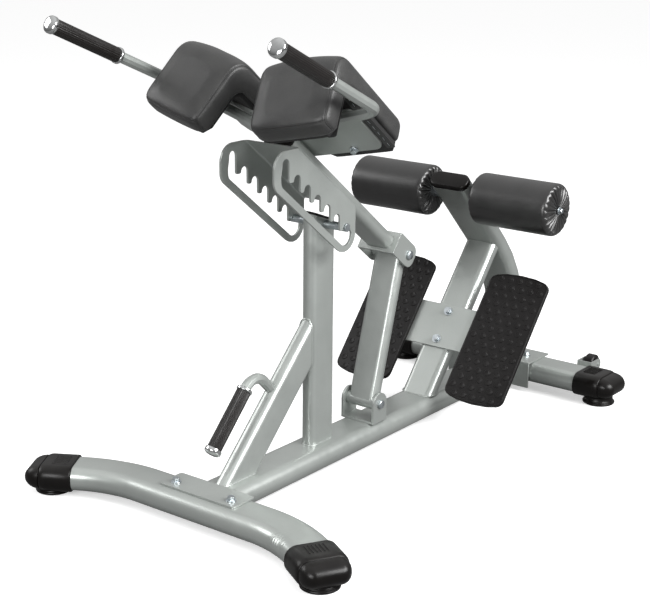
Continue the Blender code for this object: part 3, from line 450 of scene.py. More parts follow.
def dull_black(name, dark, light, scale, rough, depth, gloss=0.5):
    """Even black with a fine tooth, for thread, board, rubber and moulded plastic."""
    material, tree, shader = start_finish(name, Specular_IOR_Level=gloss)
    tooth = use_group(tree, GRAIN, Scale=scale, Broad_Scale=scale / 25, Broad_Share=0.35)
    dust = use_group(tree, DUST, Amount=0.08, Patch_Scale=16.0)
    wear_and_highlight = use_group(tree, EDGE_WEAR_HIGHLIGHT, Width=0.0010, Noise_Scale=90.0)
    face = tint(tree, tooth["Value"], dark, light)
    # Edges turn grey: partly wear, partly a painted highlight.
    worn_and_highlit = tint(tree, sums(tree, 'MULTIPLY', wear_and_highlight["Mask"], 0.3), face, tuple(3.0 * v for v in light))
    tree.links.new(tint(tree, dust["Mask"], worn_and_highlit, BLACK_DUST), shader["Base Color"])
    tree.links.new(spread(tree, tooth["Broad"], *rough), shader["Roughness"])
    raise_bumps(tree, shader, (tooth["Value"], depth, 0.5), edge=0.0010)
    return material


THREAD = dull_black("thread_finish", dark=(0.030, 0.030, 0.030), light=(0.060, 0.060, 0.060),
                    scale=2400.0, rough=(0.6, 0.8), depth=0.0001)
BOARD = dull_black("board_finish", dark=(0.006, 0.006, 0.006), light=(0.014, 0.014, 0.014),
                   scale=700.0, rough=(0.62, 0.78), depth=0.0002)
print("thread and board:", THREAD.name, BOARD.name)

# %% [markdown]
# ## Rubber, moulded caps and grips
# The foot plates are moulded rubber, warm black and dull. The end caps are a harder plastic with a
# satin skin that catches the light, and the grips are a brown-black rubber. All three are the dull
# black of thread and board with other numbers, because they differ only in grain, gloss and warmth.
# The record says which finish each node has, so a table hands the finishes out.

# %% Rubber and plastic
RUBBER = dull_black("foot_rubber_finish", dark=(0.0028, 0.0023, 0.0023), light=(0.0060, 0.0050, 0.0050),
                    scale=1100.0, rough=(0.36, 0.46), depth=0.00006, gloss=0.24)
PLASTIC = dull_black("cap_plastic_finish", dark=(0.0022, 0.0017, 0.0015), light=(0.0042, 0.0034, 0.0031),
                     scale=1300.0, rough=(0.28, 0.35), depth=0.00002, gloss=0.24)
GRIP = dull_black("grip_rubber_finish", dark=(0.0035, 0.0026, 0.0023), light=(0.0070, 0.0052, 0.0045),
                  scale=1200.0, rough=(0.30, 0.40), depth=0.00008, gloss=0.40)
print("moulded finishes:", RUBBER.name, PLASTIC.name, GRIP.name)

# %% [markdown]
# ### Handing out the finishes
# The record names a finish for every node. A table from those names to the materials dresses them
# all in one loop, so that no node is forgotten and a finish is changed in one place.

# %% Give the nodes their finishes
FINISH = {"silver_paint": PAINT, "chrome": CHROME, "zinc_steel": ZINC, "black_vinyl": PAD_VINYL,
          "pad_board": BOARD, "black_rubber": RUBBER, "black_plastic": PLASTIC, "grip_rubber": GRIP}
for entry in frame["record"]["subparts"]:
    mesh = nodes[entry["node"]].data
    mesh.materials.clear()
    mesh.materials.append(FINISH[entry["material_slot"]])

# %% [markdown]
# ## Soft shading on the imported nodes
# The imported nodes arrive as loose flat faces, so a round tube would shine in stripes. Finer meshes
# would cure that, but the nodes must keep their shape. Modifiers may sit on top: one joins the
# faces again, one keeps real corners sharp, and one weighs the shading by area, so that flat sides
# stay flat and only the rounded edges turn.

# %% Shade the nodes
JOIN_REACH = 0.00001
SHARP_CORNER = math.radians(34.0)
AREA_WEIGHT = 60


def soften(node):
    """Smooth shading by modifiers alone, without a change of shape."""
    data = node.data
    for name in ("custom_normal", "sharp_edge"):
        if name in data.attributes:
            data.attributes.remove(data.attributes[name])
    for face in data.polygons:
        face.use_smooth = True
    join = node.modifiers.new("join_faces", 'WELD')
    join.merge_threshold = JOIN_REACH
    crease = node.modifiers.new("keep_corners", 'EDGE_SPLIT')
    crease.split_angle = SHARP_CORNER
    even = node.modifiers.new("weigh_by_area", 'WEIGHTED_NORMAL')
    even.mode = 'FACE_AREA_WITH_ANGLE'
    even.weight = AREA_WEIGHT


for node in nodes.values():
    soften(node)
print("softened", len(nodes), "nodes")

# %% [markdown]
# ## Tools for new pieces
# The pieces that follow are plain meshes made in code. Most of them are rings of points joined into a skin,
# which suits anything whose section changes along a line. Each finished piece is put on the body that carries
# it, so that it moves with that body, and it is given its finish.

# %% New pieces
def as_object(name, bm):
    """Object of a bmesh, linked to the scene."""
    data = bpy.data.meshes.new(name)
    bm.to_mesh(data)
    bm.free()
    made = bpy.data.objects.new(name, data)
    bpy.context.scene.collection.objects.link(made)
    return made


def new_piece(name, bm, material, body, smooth=40.0):
    """Piece with a finish, riding on a body, shaded smooth but for edges sharper than the angle."""
    bmesh.ops.recalc_face_normals(bm, faces=bm.faces)
    made = as_object(name, bm)
    made.data.materials.append(material)
    for face in made.data.polygons:
        face.use_smooth = True
    made.data.set_sharp_from_angle(angle=math.radians(smooth))
    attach(made, body)
    return made


print("piece helper ready")

# %% [markdown]
# ### A skin over rings
# A tube, a cap and a pad all come down to rings with equally many points, one after the other.
# Faces join each ring to the next, and one flat face closes each end. A curve object can make its
# section larger or smaller on the way, but not change its form, as these pieces do.

# %% Skin over rings of points
def join_rows(bm, rows):
    """Faces between rings of mesh points that follow each other."""
    count = len(rows[0])
    for one, two in zip(rows, rows[1:]):
        for k in range(count):
            nxt = (k + 1) % count
            bm.faces.new((one[k], one[nxt], two[nxt], two[k]))


def skin_rings(bm, rings):
    """Join rings of points, in order, into one skin, and close its two ends."""
    rows = [[bm.verts.new(p) for p in ring] for ring in rings]
    join_rows(bm, rows)
    bm.faces.new(rows[0])
    bm.faces.new(rows[-1])


print("ring skin ready")

# %% [markdown]
# ## Where the pads sit
# The pads are fixed to the arm, and each leans outwards by some degrees. Built along the world's
# axes, every number in them would be askew. So they have a frame of their own, which starts at the
# arm's pivot and is turned down by the arm's slope and then rolled by that lean. In it a pad is a
# bent strip with rounded corners, drawn as seen from its side.

# %% Rounded outlines
def round_off(corners, radii, steps):
    """Flat outline with its corners rounded, as a list of 2D points."""
    out = []
    count = len(corners)
    for k in range(count):
        here = Vector(corners[k])
        to_back = (Vector(corners[k - 1]) - here).normalized()
        to_next = (Vector(corners[(k + 1) % count]) - here).normalized()
        half = 0.5 * to_back.angle(to_next)
        reach = radii[k] / math.tan(half)
        centre = here + (to_back + to_next).normalized() * (radii[k] / math.sin(half))
        first = here + to_back * reach - centre
        last = here + to_next * reach - centre
        turn = first.angle(last)
        for j in range(steps + 1):
            part = j / steps
            mix = first * math.sin((1 - part) * turn) + last * math.sin(part * turn)
            out.append(centre + mix / math.sin(turn))
    return out


print("outline helper ready")

# %% [markdown]
# ### Outline of a pad
# Seen from its side, a pad is a strip with a right-angled bend, generous on the outside and tight
# on the inside. Six corners and six radii draw it. Drawn in, swelled or shortened, the same outline
# serves the block and the seams.

# %% Pad frame
ARM_PIVOT = Vector((0.0797, 0.0, 0.4255))
ARM_SLOPE = math.radians(38.0)
PAD_LEAN = math.radians(14.0)
PAD_FRONT = -0.659
PAD_REAR = -0.387
PAD_TOP = 0.071
PAD_LOW = -0.089
PAD_THICK = 0.045
PAD_INNER = 0.045
PAD_OUTER = 0.213
OUTER_BEND = 0.038
INNER_BEND = 0.026
FOAM_CORNER = 0.014
BOARD_CORNER = 0.006
CORNER_STEPS = 10


def pad_place(side):
    """Placement of the pad's frame in the world, for the far side (1) or the near side (-1)."""
    turn = Matrix.Rotation(ARM_SLOPE, 4, 'Y') @ Matrix.Rotation(side * PAD_LEAN, 4, 'X')
    return Matrix.Translation(ARM_PIVOT) @ turn


def pad_section(inset, crown, end_in=0.0):
    """Outline of the bent cushion seen from its side, drawn in, swelled, and shortened at its two ends."""
    front = PAD_FRONT - crown + inset
    top = PAD_TOP + crown - inset
    rear = PAD_REAR - inset - end_in
    low = PAD_LOW + inset + end_in
    board = PAD_TOP - PAD_THICK
    inner = PAD_FRONT + PAD_THICK
    corners = [(rear, board), (rear, top), (front, top), (front, low), (inner, low), (inner, board)]
    radii = [BOARD_CORNER, FOAM_CORNER, OUTER_BEND, FOAM_CORNER, BOARD_CORNER, INNER_BEND]
    return round_off(corners, radii, CORNER_STEPS)


print("pad spans", round(PAD_OUTER - PAD_INNER, 4), "m across")

# %% [markdown]
# ## Sewing the hip pads
# A hip pad is a block of foam, bent over the front edge, in a cover sewn from a long top panel and
# two side panels. A modelled block looks hard, and a shape pushed by hand can't be made again from
# numbers. So the cover is blown up a little as cloth: the mesh is remade in even squares, the faces
# on the board are held, and pressure swells the rest by no more than a few millimetres. One pad is
# made, and mirrored for the other side.

# %% Cushion block
SOFT_EDGE = 0.011
PLAN_CORNER = 0.026
CROWN = 0.0055
START_SMALLER = 0.0010
VOXEL = 0.0042


def cushion_block():
    """Closed block in the pad's frame, its sides drawn in and its top crowned."""
    span = PAD_OUTER - PAD_INNER
    middle = span / 2 - PLAN_CORNER
    reaches = [SOFT_EDGE * (1 - math.sin(math.radians(90 * k / 8))) for k in range(8, 0, -1)]
    reaches += [SOFT_EDGE + (PLAN_CORNER - SOFT_EDGE) * k / 5 for k in range(6)]
    reaches += [PLAN_CORNER + middle * k / 8 for k in range(1, 9)]
    stations = [(PAD_INNER + r, r) for r in reaches] + [(PAD_OUTER - r, r) for r in reversed(reaches[:-1])]
    rings = []
    for across, reach in stations:
        inset = SOFT_EDGE - math.sqrt(SOFT_EDGE ** 2 - max(0.0, SOFT_EDGE - reach) ** 2)
        end_in = PLAN_CORNER - math.sqrt(PLAN_CORNER ** 2 - max(0.0, PLAN_CORNER - reach) ** 2)
        part = (across - PAD_INNER) / span
        crown = CROWN * (1 - (2 * part - 1) ** 2)
        section = pad_section(0.8 * inset + START_SMALLER, crown, 0.85 * max(0.0, end_in - inset))
        rings.append([Vector((p.x, across, p.y)) for p in section])
    bm = bmesh.new()
    skin_rings(bm, rings)
    bmesh.ops.recalc_face_normals(bm, faces=bm.faces)
    return as_object("cushion_block", bm)


def apply_all(block):
    """Turn an object's modifiers into its own mesh."""
    graph = bpy.context.evaluated_depsgraph_get()
    data = bpy.data.meshes.new_from_object(block.evaluated_get(graph))
    block.modifiers.clear()
    block.data = data


block = cushion_block()
remesh = block.modifiers.new("even_squares", 'REMESH')
remesh.mode = 'VOXEL'
remesh.voxel_size = VOXEL
apply_all(block)
print("cushion block:", len(block.data.vertices), "points")

# %% [markdown]
# ### The side that is held
# The foam is glued to its board, so the cover can't swell on that side. Points picked by hand would
# be lost whenever the squares change, so a rule picks them: a point is held when it lies on the
# inside of the bend, within a few millimetres of the board.

# %% Find the face on the board
HELD_DEPTH = 0.0035


def past_faces(spot):
    """How far a point is behind the foam's front part, and how far under its top part."""
    return spot.x - (PAD_FRONT + PAD_THICK), PAD_TOP - PAD_THICK - spot.z


def behind_foam(spot):
    """How far a point is outside the foam on the board's side, below zero inside the foam."""
    back, under = past_faces(spot)
    if back < INNER_BEND and under < INNER_BEND:
        away = math.hypot(INNER_BEND - back, INNER_BEND - under)
        return INNER_BEND - away
    return min(back, under)


def on_board(spot):
    """True where the cover lies against the board, behind the foam."""
    return behind_foam(spot) > -HELD_DEPTH


print("points held on the board:", sum(on_board(v.co) for v in block.data.vertices))

# %% [markdown]
# ### A little pressure
# The cover hardly stretches, so it is run as stiff cloth with a little pressure inside and no
# weight. Only its outward travel is used, capped and then evened out between neighbours, as in a
# taut cover. That keeps the puckers of a short simulation from showing.

# %% Blow up the cover
PRESSURE = 4.0
STIFFNESS = 18.0
LAST_STEP = 20
SWELL_CAP = 0.0055
TAUT_ROUNDS = 14
TAUT_SHARE = 0.6


def swell(block):
    """Cloth under pressure, held on the board, its outward travel capped and evened out as if taut."""
    start = [v.co.copy() for v in block.data.vertices]
    outward = [v.normal.copy() for v in block.data.vertices]
    beside = [[] for _ in start]
    for edge in block.data.edges:
        one, two = edge.vertices
        beside[one].append(two)
        beside[two].append(one)
    held = block.vertex_groups.new(name="held")
    held.add([k for k, spot in enumerate(start) if on_board(spot)], 1.0, 'REPLACE')
    cloth = block.modifiers.new("cover", 'CLOTH')
    cloth.settings.use_pressure = True
    cloth.settings.uniform_pressure_force = PRESSURE
    cloth.settings.effector_weights.gravity = 0.0
    cloth.settings.vertex_group_mass = "held"
    cloth.settings.tension_stiffness = STIFFNESS
    cloth.settings.compression_stiffness = STIFFNESS
    cloth.point_cache.frame_start = 1
    cloth.point_cache.frame_end = LAST_STEP
    for step in range(1, LAST_STEP + 1):
        bpy.context.scene.frame_set(step)
    apply_all(block)
    rise = [min(SWELL_CAP, max(0.0, (vert.co - spot).dot(way)))
            for vert, spot, way in zip(block.data.vertices, start, outward)]
    for _ in range(TAUT_ROUNDS):
        rise = [(1 - TAUT_SHARE) * rise[k] + TAUT_SHARE * sum(rise[j] for j in near) / len(near)
                for k, near in enumerate(beside)]
    for vert, spot, way, lift in zip(block.data.vertices, start, outward, rise):
        vert.co = spot + way * lift
    bpy.context.scene.frame_set(1)
    return max(rise)


print("cover moved at most", round(swell(block) * 1000, 1), "mm")

# %% [markdown]
# ### Back into its space
# A swollen cover could grow into the board, or past the room that a pad has. Each point that did is
# moved back to the nearest place allowed. Light smoothing and one subdivision then take away the
# steps of the even squares.

# %% Keep the cover in its space
FACE_ROOM = 0.0075
END_ROOM = 0.0020
SIDE_ROOM = 0.0015


def pull_back_to_size(block):
    """Keep the swelled cover inside the space that the pad has, and in front of the board."""
    for vert in block.data.vertices:
        vert.co.x = min(max(vert.co.x, PAD_FRONT - FACE_ROOM), PAD_REAR + END_ROOM)
        vert.co.y = min(max(vert.co.y, PAD_INNER - SIDE_ROOM), PAD_OUTER + SIDE_ROOM)
        vert.co.z = min(max(vert.co.z, PAD_LOW - END_ROOM), PAD_TOP + FACE_ROOM)
        over = behind_foam(vert.co)
        if over > 0.0:
            back, under = past_faces(vert.co)
            if back < INNER_BEND and under < INNER_BEND:
                way = Vector((back - INNER_BEND, 0.0, INNER_BEND - under)).normalized()
                vert.co += way * over
            elif back < under:
                vert.co.x -= over
            else:
                vert.co.z += over


pull_back_to_size(block)
smooth = block.modifiers.new("settle", 'SMOOTH')
smooth.factor = 0.5
smooth.iterations = 3
finer = block.modifiers.new("finer", 'SUBSURF')
finer.levels = 1
finer.render_levels = 1
apply_all(block)
print("cover:", len(block.data.vertices), "points")

# %% [markdown]
# ## Seams
# Two seams run round the bend, one along each side panel, and two short ones cross the pad at its
# lower front edge and at its rear edge. A seam pulls the foam in, so points near it are pressed
# down, and a thin welt lies in the groove with a row of stitches beside it. The even squares would
# have wiped out a groove made earlier, so the seams are laid on the finished cover. Welts and
# stitches are round beads, because a bump can't stand out from an edge.

# %% Draw the seams
SEAM_IN = 0.0038
SEAM_STEP = 0.002
OUTER_SIDE = slice(8, 45)


def seam_paths():
    """Lines in the pad's frame along which the panels are sewn, before they are laid on the cover."""
    drop = SOFT_EDGE * 0.30
    outer_side = pad_section(drop, 0.001, 0.004)[OUTER_SIDE]
    left, right = PAD_INNER + SEAM_IN, PAD_OUTER - SEAM_IN
    paths = [[Vector((p.x, across, p.y)) for p in outer_side] for across in (left, right)]
    steps = 30
    for x, z in ((PAD_FRONT + 0.0040, PAD_LOW + 0.0050), (PAD_REAR - 0.0050, PAD_TOP - 0.0040)):
        paths.append([Vector((x, left + (right - left) * k / steps, z)) for k in range(steps + 1)])
    return paths


def even_steps(path, gap):
    """The same path with points at an even distance."""
    out = [path[0].copy()]
    left = gap
    for one, two in zip(path, path[1:]):
        length = (two - one).length
        while length > left:
            one = one.lerp(two, left / length)
            out.append(one.copy())
            length = (two - one).length
            left = gap
        left -= length
    return out


def lay_on(path, tree):
    """Path moved onto the cover, with the cover's normal at each point."""
    return [tree.find_nearest(spot)[:2] for spot in path]


cover = BVHTree.FromPolygons([v.co for v in block.data.vertices], [p.vertices for p in block.data.polygons])
laid_seams = [lay_on(even_steps(path, SEAM_STEP), cover) for path in seam_paths()]
print("seams:", [len(laid) for laid in laid_seams], "points")

# %% [markdown]
# ### Pressing the seams in
# The pull of the thread is strongest on the seam and fades within a few millimetres. Each point
# close to a seam is pushed in along its normal by a bell-shaped amount, which needs no new faces
# and leaves no hard line.

# %% Press the seams in
def press_seams(block, laid_paths, depth=0.0012, reach=0.0026):
    """Press the cover in along the seams."""
    spots = [place for laid in laid_paths for place, _ in laid]
    near = KDTree(len(spots))
    for k, place in enumerate(spots):
        near.insert(place, k)
    near.balance()
    normals = [v.normal.copy() for v in block.data.vertices]
    pressed = 0
    for vert, normal in zip(block.data.vertices, normals):
        distance = near.find(vert.co)[2]
        if distance < 3 * reach:
            vert.co -= normal * depth * math.exp(-(distance / reach) ** 2)
            pressed += 1
    return pressed


print("points pressed by seams:", press_seams(block, laid_seams))

# %% [markdown]
# ### A round bead
# Welts, threads, staples, ribs and welds are all a round rod along a path. A curve object with a
# round bevel would do for some of them, but others have to close on themselves, ripple or join
# another mesh. So one function builds the rod from rings and carries its side direction along, so
# that it doesn't twist.

# %% Round bead along a path
def bead(bm, path, radius, sides=8, closed=False, ripple=0.0):
    """Round bead along a path, with an optional ripple of its thickness."""
    count = len(path)
    turns = [2 * math.pi * j / sides for j in range(sides)]
    rings = []
    side = None
    for k, spot in enumerate(path):
        back = path[(k - 1) % count] if closed or k > 0 else spot
        ahead = path[(k + 1) % count] if closed or k < count - 1 else spot
        way = (ahead - back).normalized()
        if side is None:
            side = way.orthogonal().normalized()
        side = (side - way * side.dot(way)).normalized()
        other = way.cross(side)
        thick = radius * (1.0 + ripple * math.sin(2.4 * k))
        rings.append([spot + (side * math.cos(t) + other * math.sin(t)) * thick for t in turns])
    if not closed:
        skin_rings(bm, rings)
        return
    rows = [[bm.verts.new(p) for p in ring] for ring in rings]
    first, last = rows[0], rows[-1]

    def twist(shift):
        return sum((last[j].co - first[(j + shift) % sides].co).length for j in range(sides))

    shift = min(range(sides), key=twist)
    join_rows(bm, rows)
    join_rows(bm, [last, first[shift:] + first[:shift]])


print("bead ready")

# %% [markdown]
# ### Welt and thread
# The welt is a thin roll sewn between the panels, mostly sunk in the groove. The stitches lie
# beside it, each a short thread whose two ends dip into the cover. They are placed by a search for
# the nearest point of the cover, so that they don't float where it bends.

# %% Welts and stitches
WELT_RADIUS = 0.0009
WELT_SINK = 0.0007
THREAD_RADIUS = 0.00035
STITCH_HALF = 0.0012
STITCH_AWAY = 0.0034


def welt_mesh(laid_paths):
    """Thin roll in the groove of each seam."""
    bm = bmesh.new()
    for laid in laid_paths:
        bead(bm, [place - normal * WELT_SINK for place, normal in laid], WELT_RADIUS)
    return bm


def stitch_mesh(laid_paths):
    """Short stitches beside each seam, on the side of the top panel."""
    middle = (PAD_INNER + PAD_OUTER) / 2
    bm = bmesh.new()
    for number, laid in enumerate(laid_paths):
        for k in range(1, len(laid) - 2, 2):
            place, normal = laid[k]
            way = (laid[k + 1][0] - place).normalized()
            inward = way.cross(normal).normalized()
            if number < 2:
                aim = Vector((0, 1 if place.y < middle else -1, 0))
            else:
                aim = Vector((0, 0, 1)) if number == 2 else Vector((-1, 0, 0))
            if inward.dot(aim) < 0:
                inward = -inward
            spot, lift, _, _ = cover.find_nearest(place + inward * STITCH_AWAY)
            ends = [spot + lift * 0.0001 + way * t * STITCH_HALF for t in (-1.0, -0.5, 0.5, 1.0)]
            ends[0] -= lift * 0.0005
            ends[3] -= lift * 0.0005
            bead(bm, ends, THREAD_RADIUS, sides=5)
    return bm


print("a stitch is", 2 * STITCH_HALF, "m long")

# %% [markdown]
# ### Two pads from one
# The near pad is the far one turned over. Mirroring a mesh also swaps the way its faces look, so they are
# turned back after it. The cover takes the place of the imported pad.

# %% Place both pads
SIDES = ((-1, "near"), (1, "far"))


def mirrored(bm, side):
    """A pad's bmesh, turned over for the near side and put in the world."""
    if side < 0:
        bmesh.ops.scale(bm, vec=(1, -1, 1), verts=bm.verts)
        bmesh.ops.reverse_faces(bm, faces=bm.faces)
    bmesh.ops.transform(bm, matrix=pad_place(side), verts=bm.verts)
    return bm


def on_pad(name, bm, side, material, smooth):
    """Piece of one pad, riding on the arm."""
    return new_piece(name, mirrored(bm, side), material, "pad_arm", smooth)


for side, label in SIDES:
    bm = bmesh.new()
    bm.from_mesh(block.data)
    pad = on_pad("hip_pad_cover_" + label, bm, side, PAD_VINYL, 180.0)
    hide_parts("hip_pad_" + label)
    on_pad("pad_welt_" + label, welt_mesh(laid_seams), side, WELT, 180.0)
    on_pad("pad_stitches_" + label, stitch_mesh(laid_seams), side, THREAD, 180.0)
    low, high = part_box("hip_pad_" + label)
    print(label, "pad solid", [round(v, 3) for v in low], [round(v, 3) for v in high])
bpy.data.objects.remove(block, do_unlink=True)

# %% [markdown]
# ## Boards behind the pads
# The foam is glued to a bent board, and the cover is folded over its edge and stapled down. The
# board follows the inner bend of the foam, so both are made from the same numbers: one outline of
# the bend, swept across the pad. The same strip, thinner and narrower, gives the folded hem of
# vinyl. A row of wire staples runs along it, each a little askew.

# %% Bent strips
BOARD_THICK = 0.0095
BOARD_GAP = 0.0003


def bent_strip(inner, thick, left, right, low, rear, corner):
    """Strip bent along the foam from its low end to its rear end, with rounded corners in plan."""
    bm = bmesh.new()
    top = PAD_TOP - PAD_THICK - inner
    front = PAD_FRONT + PAD_THICK + inner
    bend = INNER_BEND - inner
    edge = min(0.001, 0.35 * thick)
    rings = []
    for k in range(13):
        across = left + (right - left) * k / 12
        reach = min(across - left, right - across)
        cut = corner - math.sqrt(corner ** 2 - max(0.0, corner - reach) ** 2)
        corners = [(rear - cut, top), (front, top), (front, low + cut), (front + thick, low + cut),
                   (front + thick, top - thick), (rear - cut, top - thick)]
        outline = round_off(corners, [edge, bend, edge, edge, bend - thick, edge], 8)
        rings.append([Vector((p.x, across, p.y)) for p in outline])
    skin_rings(bm, rings)
    return bm


def board_mesh():
    """Board with a well rounded rear end, a little narrower than the foam."""
    return bent_strip(BOARD_GAP, BOARD_THICK, PAD_INNER + 0.009, PAD_OUTER - 0.009, PAD_LOW + 0.006,
                      PAD_REAR + 0.007, 0.018)


def hem_mesh():
    """Vinyl folded over the board's outer edge."""
    return bent_strip(BOARD_GAP + BOARD_THICK + 0.0001, 0.0012, PAD_OUTER - 0.026, PAD_OUTER - 0.0075,
                      PAD_LOW + 0.006, PAD_REAR - 0.0085, 0.003)


print("board", BOARD_THICK, "m thick")

# %% [markdown]
# ### A row of staples
# The staples hold the hem along the board's outer edge. Each is a wire with two bent ends, pressed
# flat. A row of exact copies looks drawn, so each is turned by a small amount that comes from its
# place in the row and is the same every time.

# %% Staples
STAPLE_COUNT = 9
STAPLE_HALF = 0.0050
STAPLE_WIRE = 0.00045
STAPLE_START = -0.575
STAPLE_IN = 0.017


def staple_mesh():
    """Wire staples pressed flat on the hem under the board's straight part, each a little askew."""
    bm = bmesh.new()
    under = PAD_TOP - PAD_THICK - BOARD_GAP - BOARD_THICK - 0.0016
    run = PAD_REAR - STAPLE_START - 0.022
    rise = Vector((0, 0, 0.0009))
    for k in range(STAPLE_COUNT):
        turn = 0.12 * math.sin(5.1 * k)
        way = Vector((math.cos(turn), math.sin(turn), 0.0))
        middle = Vector((STAPLE_START + run * k / (STAPLE_COUNT - 1), PAD_OUTER - STAPLE_IN, under))
        half, leg = way * STAPLE_HALF, way * (STAPLE_HALF + 0.0002)
        wire = [middle - leg + rise, middle - half, middle + half, middle + leg + rise]
        bead(bm, wire, STAPLE_WIRE, sides=6)
    return bm


for side, label in SIDES:
    board = on_pad("pad_back_board_" + label, board_mesh(), side, BOARD, 40.0)
    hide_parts("pad_board_" + label)
    on_pad("pad_hem_" + label, hem_mesh(), side, WELT, 40.0)
    on_pad("pad_staples_" + label, staple_mesh(), side, ZINC, 60.0)
    print(label, "board, hem and", STAPLE_COUNT, "staples")

# %% [markdown]
# ## Ankle rollers
# Each roller is a foam sleeve in a vinyl sock. The sock is longer than the foam and its ends are
# gathered in to the axle, which makes a wheel of pleats round the bolt. A simulated cloth would
# fold where it likes, so the pleats are worked out: sharp valleys that deepen towards the centre,
# wander a little and differ in depth. The body is a turned outline, and slow waves keep it from
# looking machined.

# %% Roller outline
AXLE = Vector((0.342, 0.0, 0.511))
ROLLER_RADIUS = 0.0595
ROLLER_START = 0.061
ROLLER_END = 0.270
ROLLER_EDGE = 0.012
END_BULGE = 0.0016
BORE = 0.0132
NECK = 0.0088


def roller_profile(half):
    """Radius and place along the roller, from the bore out over the rim to the middle."""
    flat = ROLLER_RADIUS - ROLLER_EDGE
    face = half - 0.0022
    start = NECK + 0.0015
    points = [(BORE, half - 0.0100), (NECK, half - 0.0072), (NECK, half - 0.0036), (start, face)]
    for k in range(1, 11):
        points.append((start + (flat - start) * k / 10, face + END_BULGE * math.sin(math.pi * k / 10)))
    for k in range(1, 9):
        turn = math.radians(90 * k / 8)
        along = face - ROLLER_EDGE + ROLLER_EDGE * math.cos(turn)
        points.append((flat + ROLLER_EDGE * math.sin(turn), along))
    points += [(ROLLER_RADIUS, (face - ROLLER_EDGE) * (1 - k / 10)) for k in range(1, 10)]
    return points


print("roller", 2 * ROLLER_RADIUS, "m across and", round(ROLLER_END - ROLLER_START, 3), "m long")

# %% [markdown]
# ### The gathers
# A fold's depth comes from how far an angle is from the nearest valley, with slow waves added so
# that no two folds are alike. The folds fade out at the rim, where the vinyl is stretched, and
# again in the small neck round the axle. The same function serves all four ends, each with its own
# seed.

# %% Gathered rollers
PLEATS = 23
PLEAT_DEPTH = 0.0060
RIM_NOTCH = 0.0009
SLACK = 0.0004
ROUND_STEPS = PLEATS * 12


def pleat(turn, radius, seed):
    """Depth of the gathered folds at this angle, between 0 and 1."""
    wander = 0.25 * math.sin(3 * turn + seed) + 0.12 * math.sin(7 * turn + 2 * seed)
    fold = abs(math.sin(0.5 * PLEATS * turn + wander))
    uneven = 0.75 + 0.25 * math.sin(5 * turn + seed * 3)
    inside = min(1.0, max(0.0, (ROLLER_RADIUS - 0.001 - radius) / 0.012))
    centre = min(1.0, max(0.2, (radius - NECK) / 0.008))
    return (1 - fold) ** 1.15 * uneven * inside * centre


def roller(label, side, seed):
    """Sleeve with pleated ends and a little slack in its cover."""
    half = (ROLLER_END - ROLLER_START) / 2
    middle = side * (ROLLER_END + ROLLER_START) / 2
    upper = roller_profile(half)
    profile = upper + [(ROLLER_RADIUS, 0.0)] + [(r, -z) for r, z in reversed(upper)]
    bm = bmesh.new()
    rows = []
    for radius, along in profile:
        row = []
        end = math.copysign(1.0, along)
        shaped = abs(along) > half - 0.022 and radius > NECK + 0.001
        for k in range(ROUND_STEPS):
            turn = 2 * math.pi * k / ROUND_STEPS
            fold = pleat(turn, radius, seed * end) if shaped else 0.0
            reach = radius - RIM_NOTCH * fold * (radius / ROLLER_RADIUS) ** 6
            if radius > ROLLER_RADIUS - 0.001:
                reach += SLACK * math.sin(2 * turn + seed) * (1 - abs(along) / half)
            place = along - end * PLEAT_DEPTH * fold
            spot = (AXLE.x + reach * math.cos(turn), middle + place, AXLE.z + reach * math.sin(turn))
            row.append(bm.verts.new(spot))
        rows.append(row)
    join_rows(bm, rows + rows[:1])
    made = new_piece("ankle_roller_cover_" + label, bm, ROLLER_VINYL, label + "_ankle_roller",
                     70.0)
    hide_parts("ankle_roller_" + label)
    return made


for (side, label), seed in zip(SIDES, (0.7, 2.1)):
    made = roller(label, side, seed)
    print(made.name, len(made.data.vertices), "points")

# %% [markdown]
# ## Turned parts
# Axles, washers, rings, domed ends and round feet are all turned about an axis. A ready-made
# cylinder has neither rounded edges nor steps. A lathe in code takes pairs of radius and height, so
# one list draws a part with all its edges, in steps as fine as its shine needs. The roller axle
# comes first: a bar through the rear post, stepped down at both ends, with a washer and a hex head
# on each.

# %% Lathe
def lathe(bm, profile, place, steps, flutes=0, depth=0.0):
    """Turn radius and height pairs about local Z, with optional flutes on the widest part."""
    widest = max(r for r, _ in profile)
    rows = []
    for radius, height in profile:
        if radius == 0.0:
            rows.append([bm.verts.new(place @ Vector((0, 0, height)))])
            continue
        row = []
        for k in range(steps):
            turn = 2 * math.pi * k / steps
            fluted = flutes and radius > widest - 0.0002
            reach = radius - depth * (0.5 - 0.5 * math.cos(flutes * turn)) if fluted else radius
            spot = Vector((reach * math.cos(turn), reach * math.sin(turn), height))
            row.append(bm.verts.new(place @ spot))
        rows.append(row)
    if len(rows[0]) > 1:
        rows.append(rows[0])
    for one, two in zip(rows, rows[1:]):
        for k in range(steps):
            nxt = (k + 1) % steps
            corners = [one[k % len(one)], one[nxt % len(one)], two[nxt % len(two)], two[k % len(two)]]
            corners = [v for i, v in enumerate(corners) if v not in corners[:i]]
            bm.faces.new(corners)


def axes_at(origin, x_axis, y_axis):
    """Placement with its local X and Y along the given directions."""
    x = Vector(x_axis).normalized()
    y = Vector(y_axis).normalized()
    turn = Matrix((x, y, x.cross(y))).transposed().to_4x4()
    return Matrix.Translation(Vector(origin)) @ turn


print("lathe ready")

# %% [markdown]
# ### The roller axle
# Only the ends of the bar are seen, so the detail goes there: a step, a washer with a softened edge
# and a small hex head, which is the same lathe with six steps. Its outline is written for one end
# and mirrored for the other.

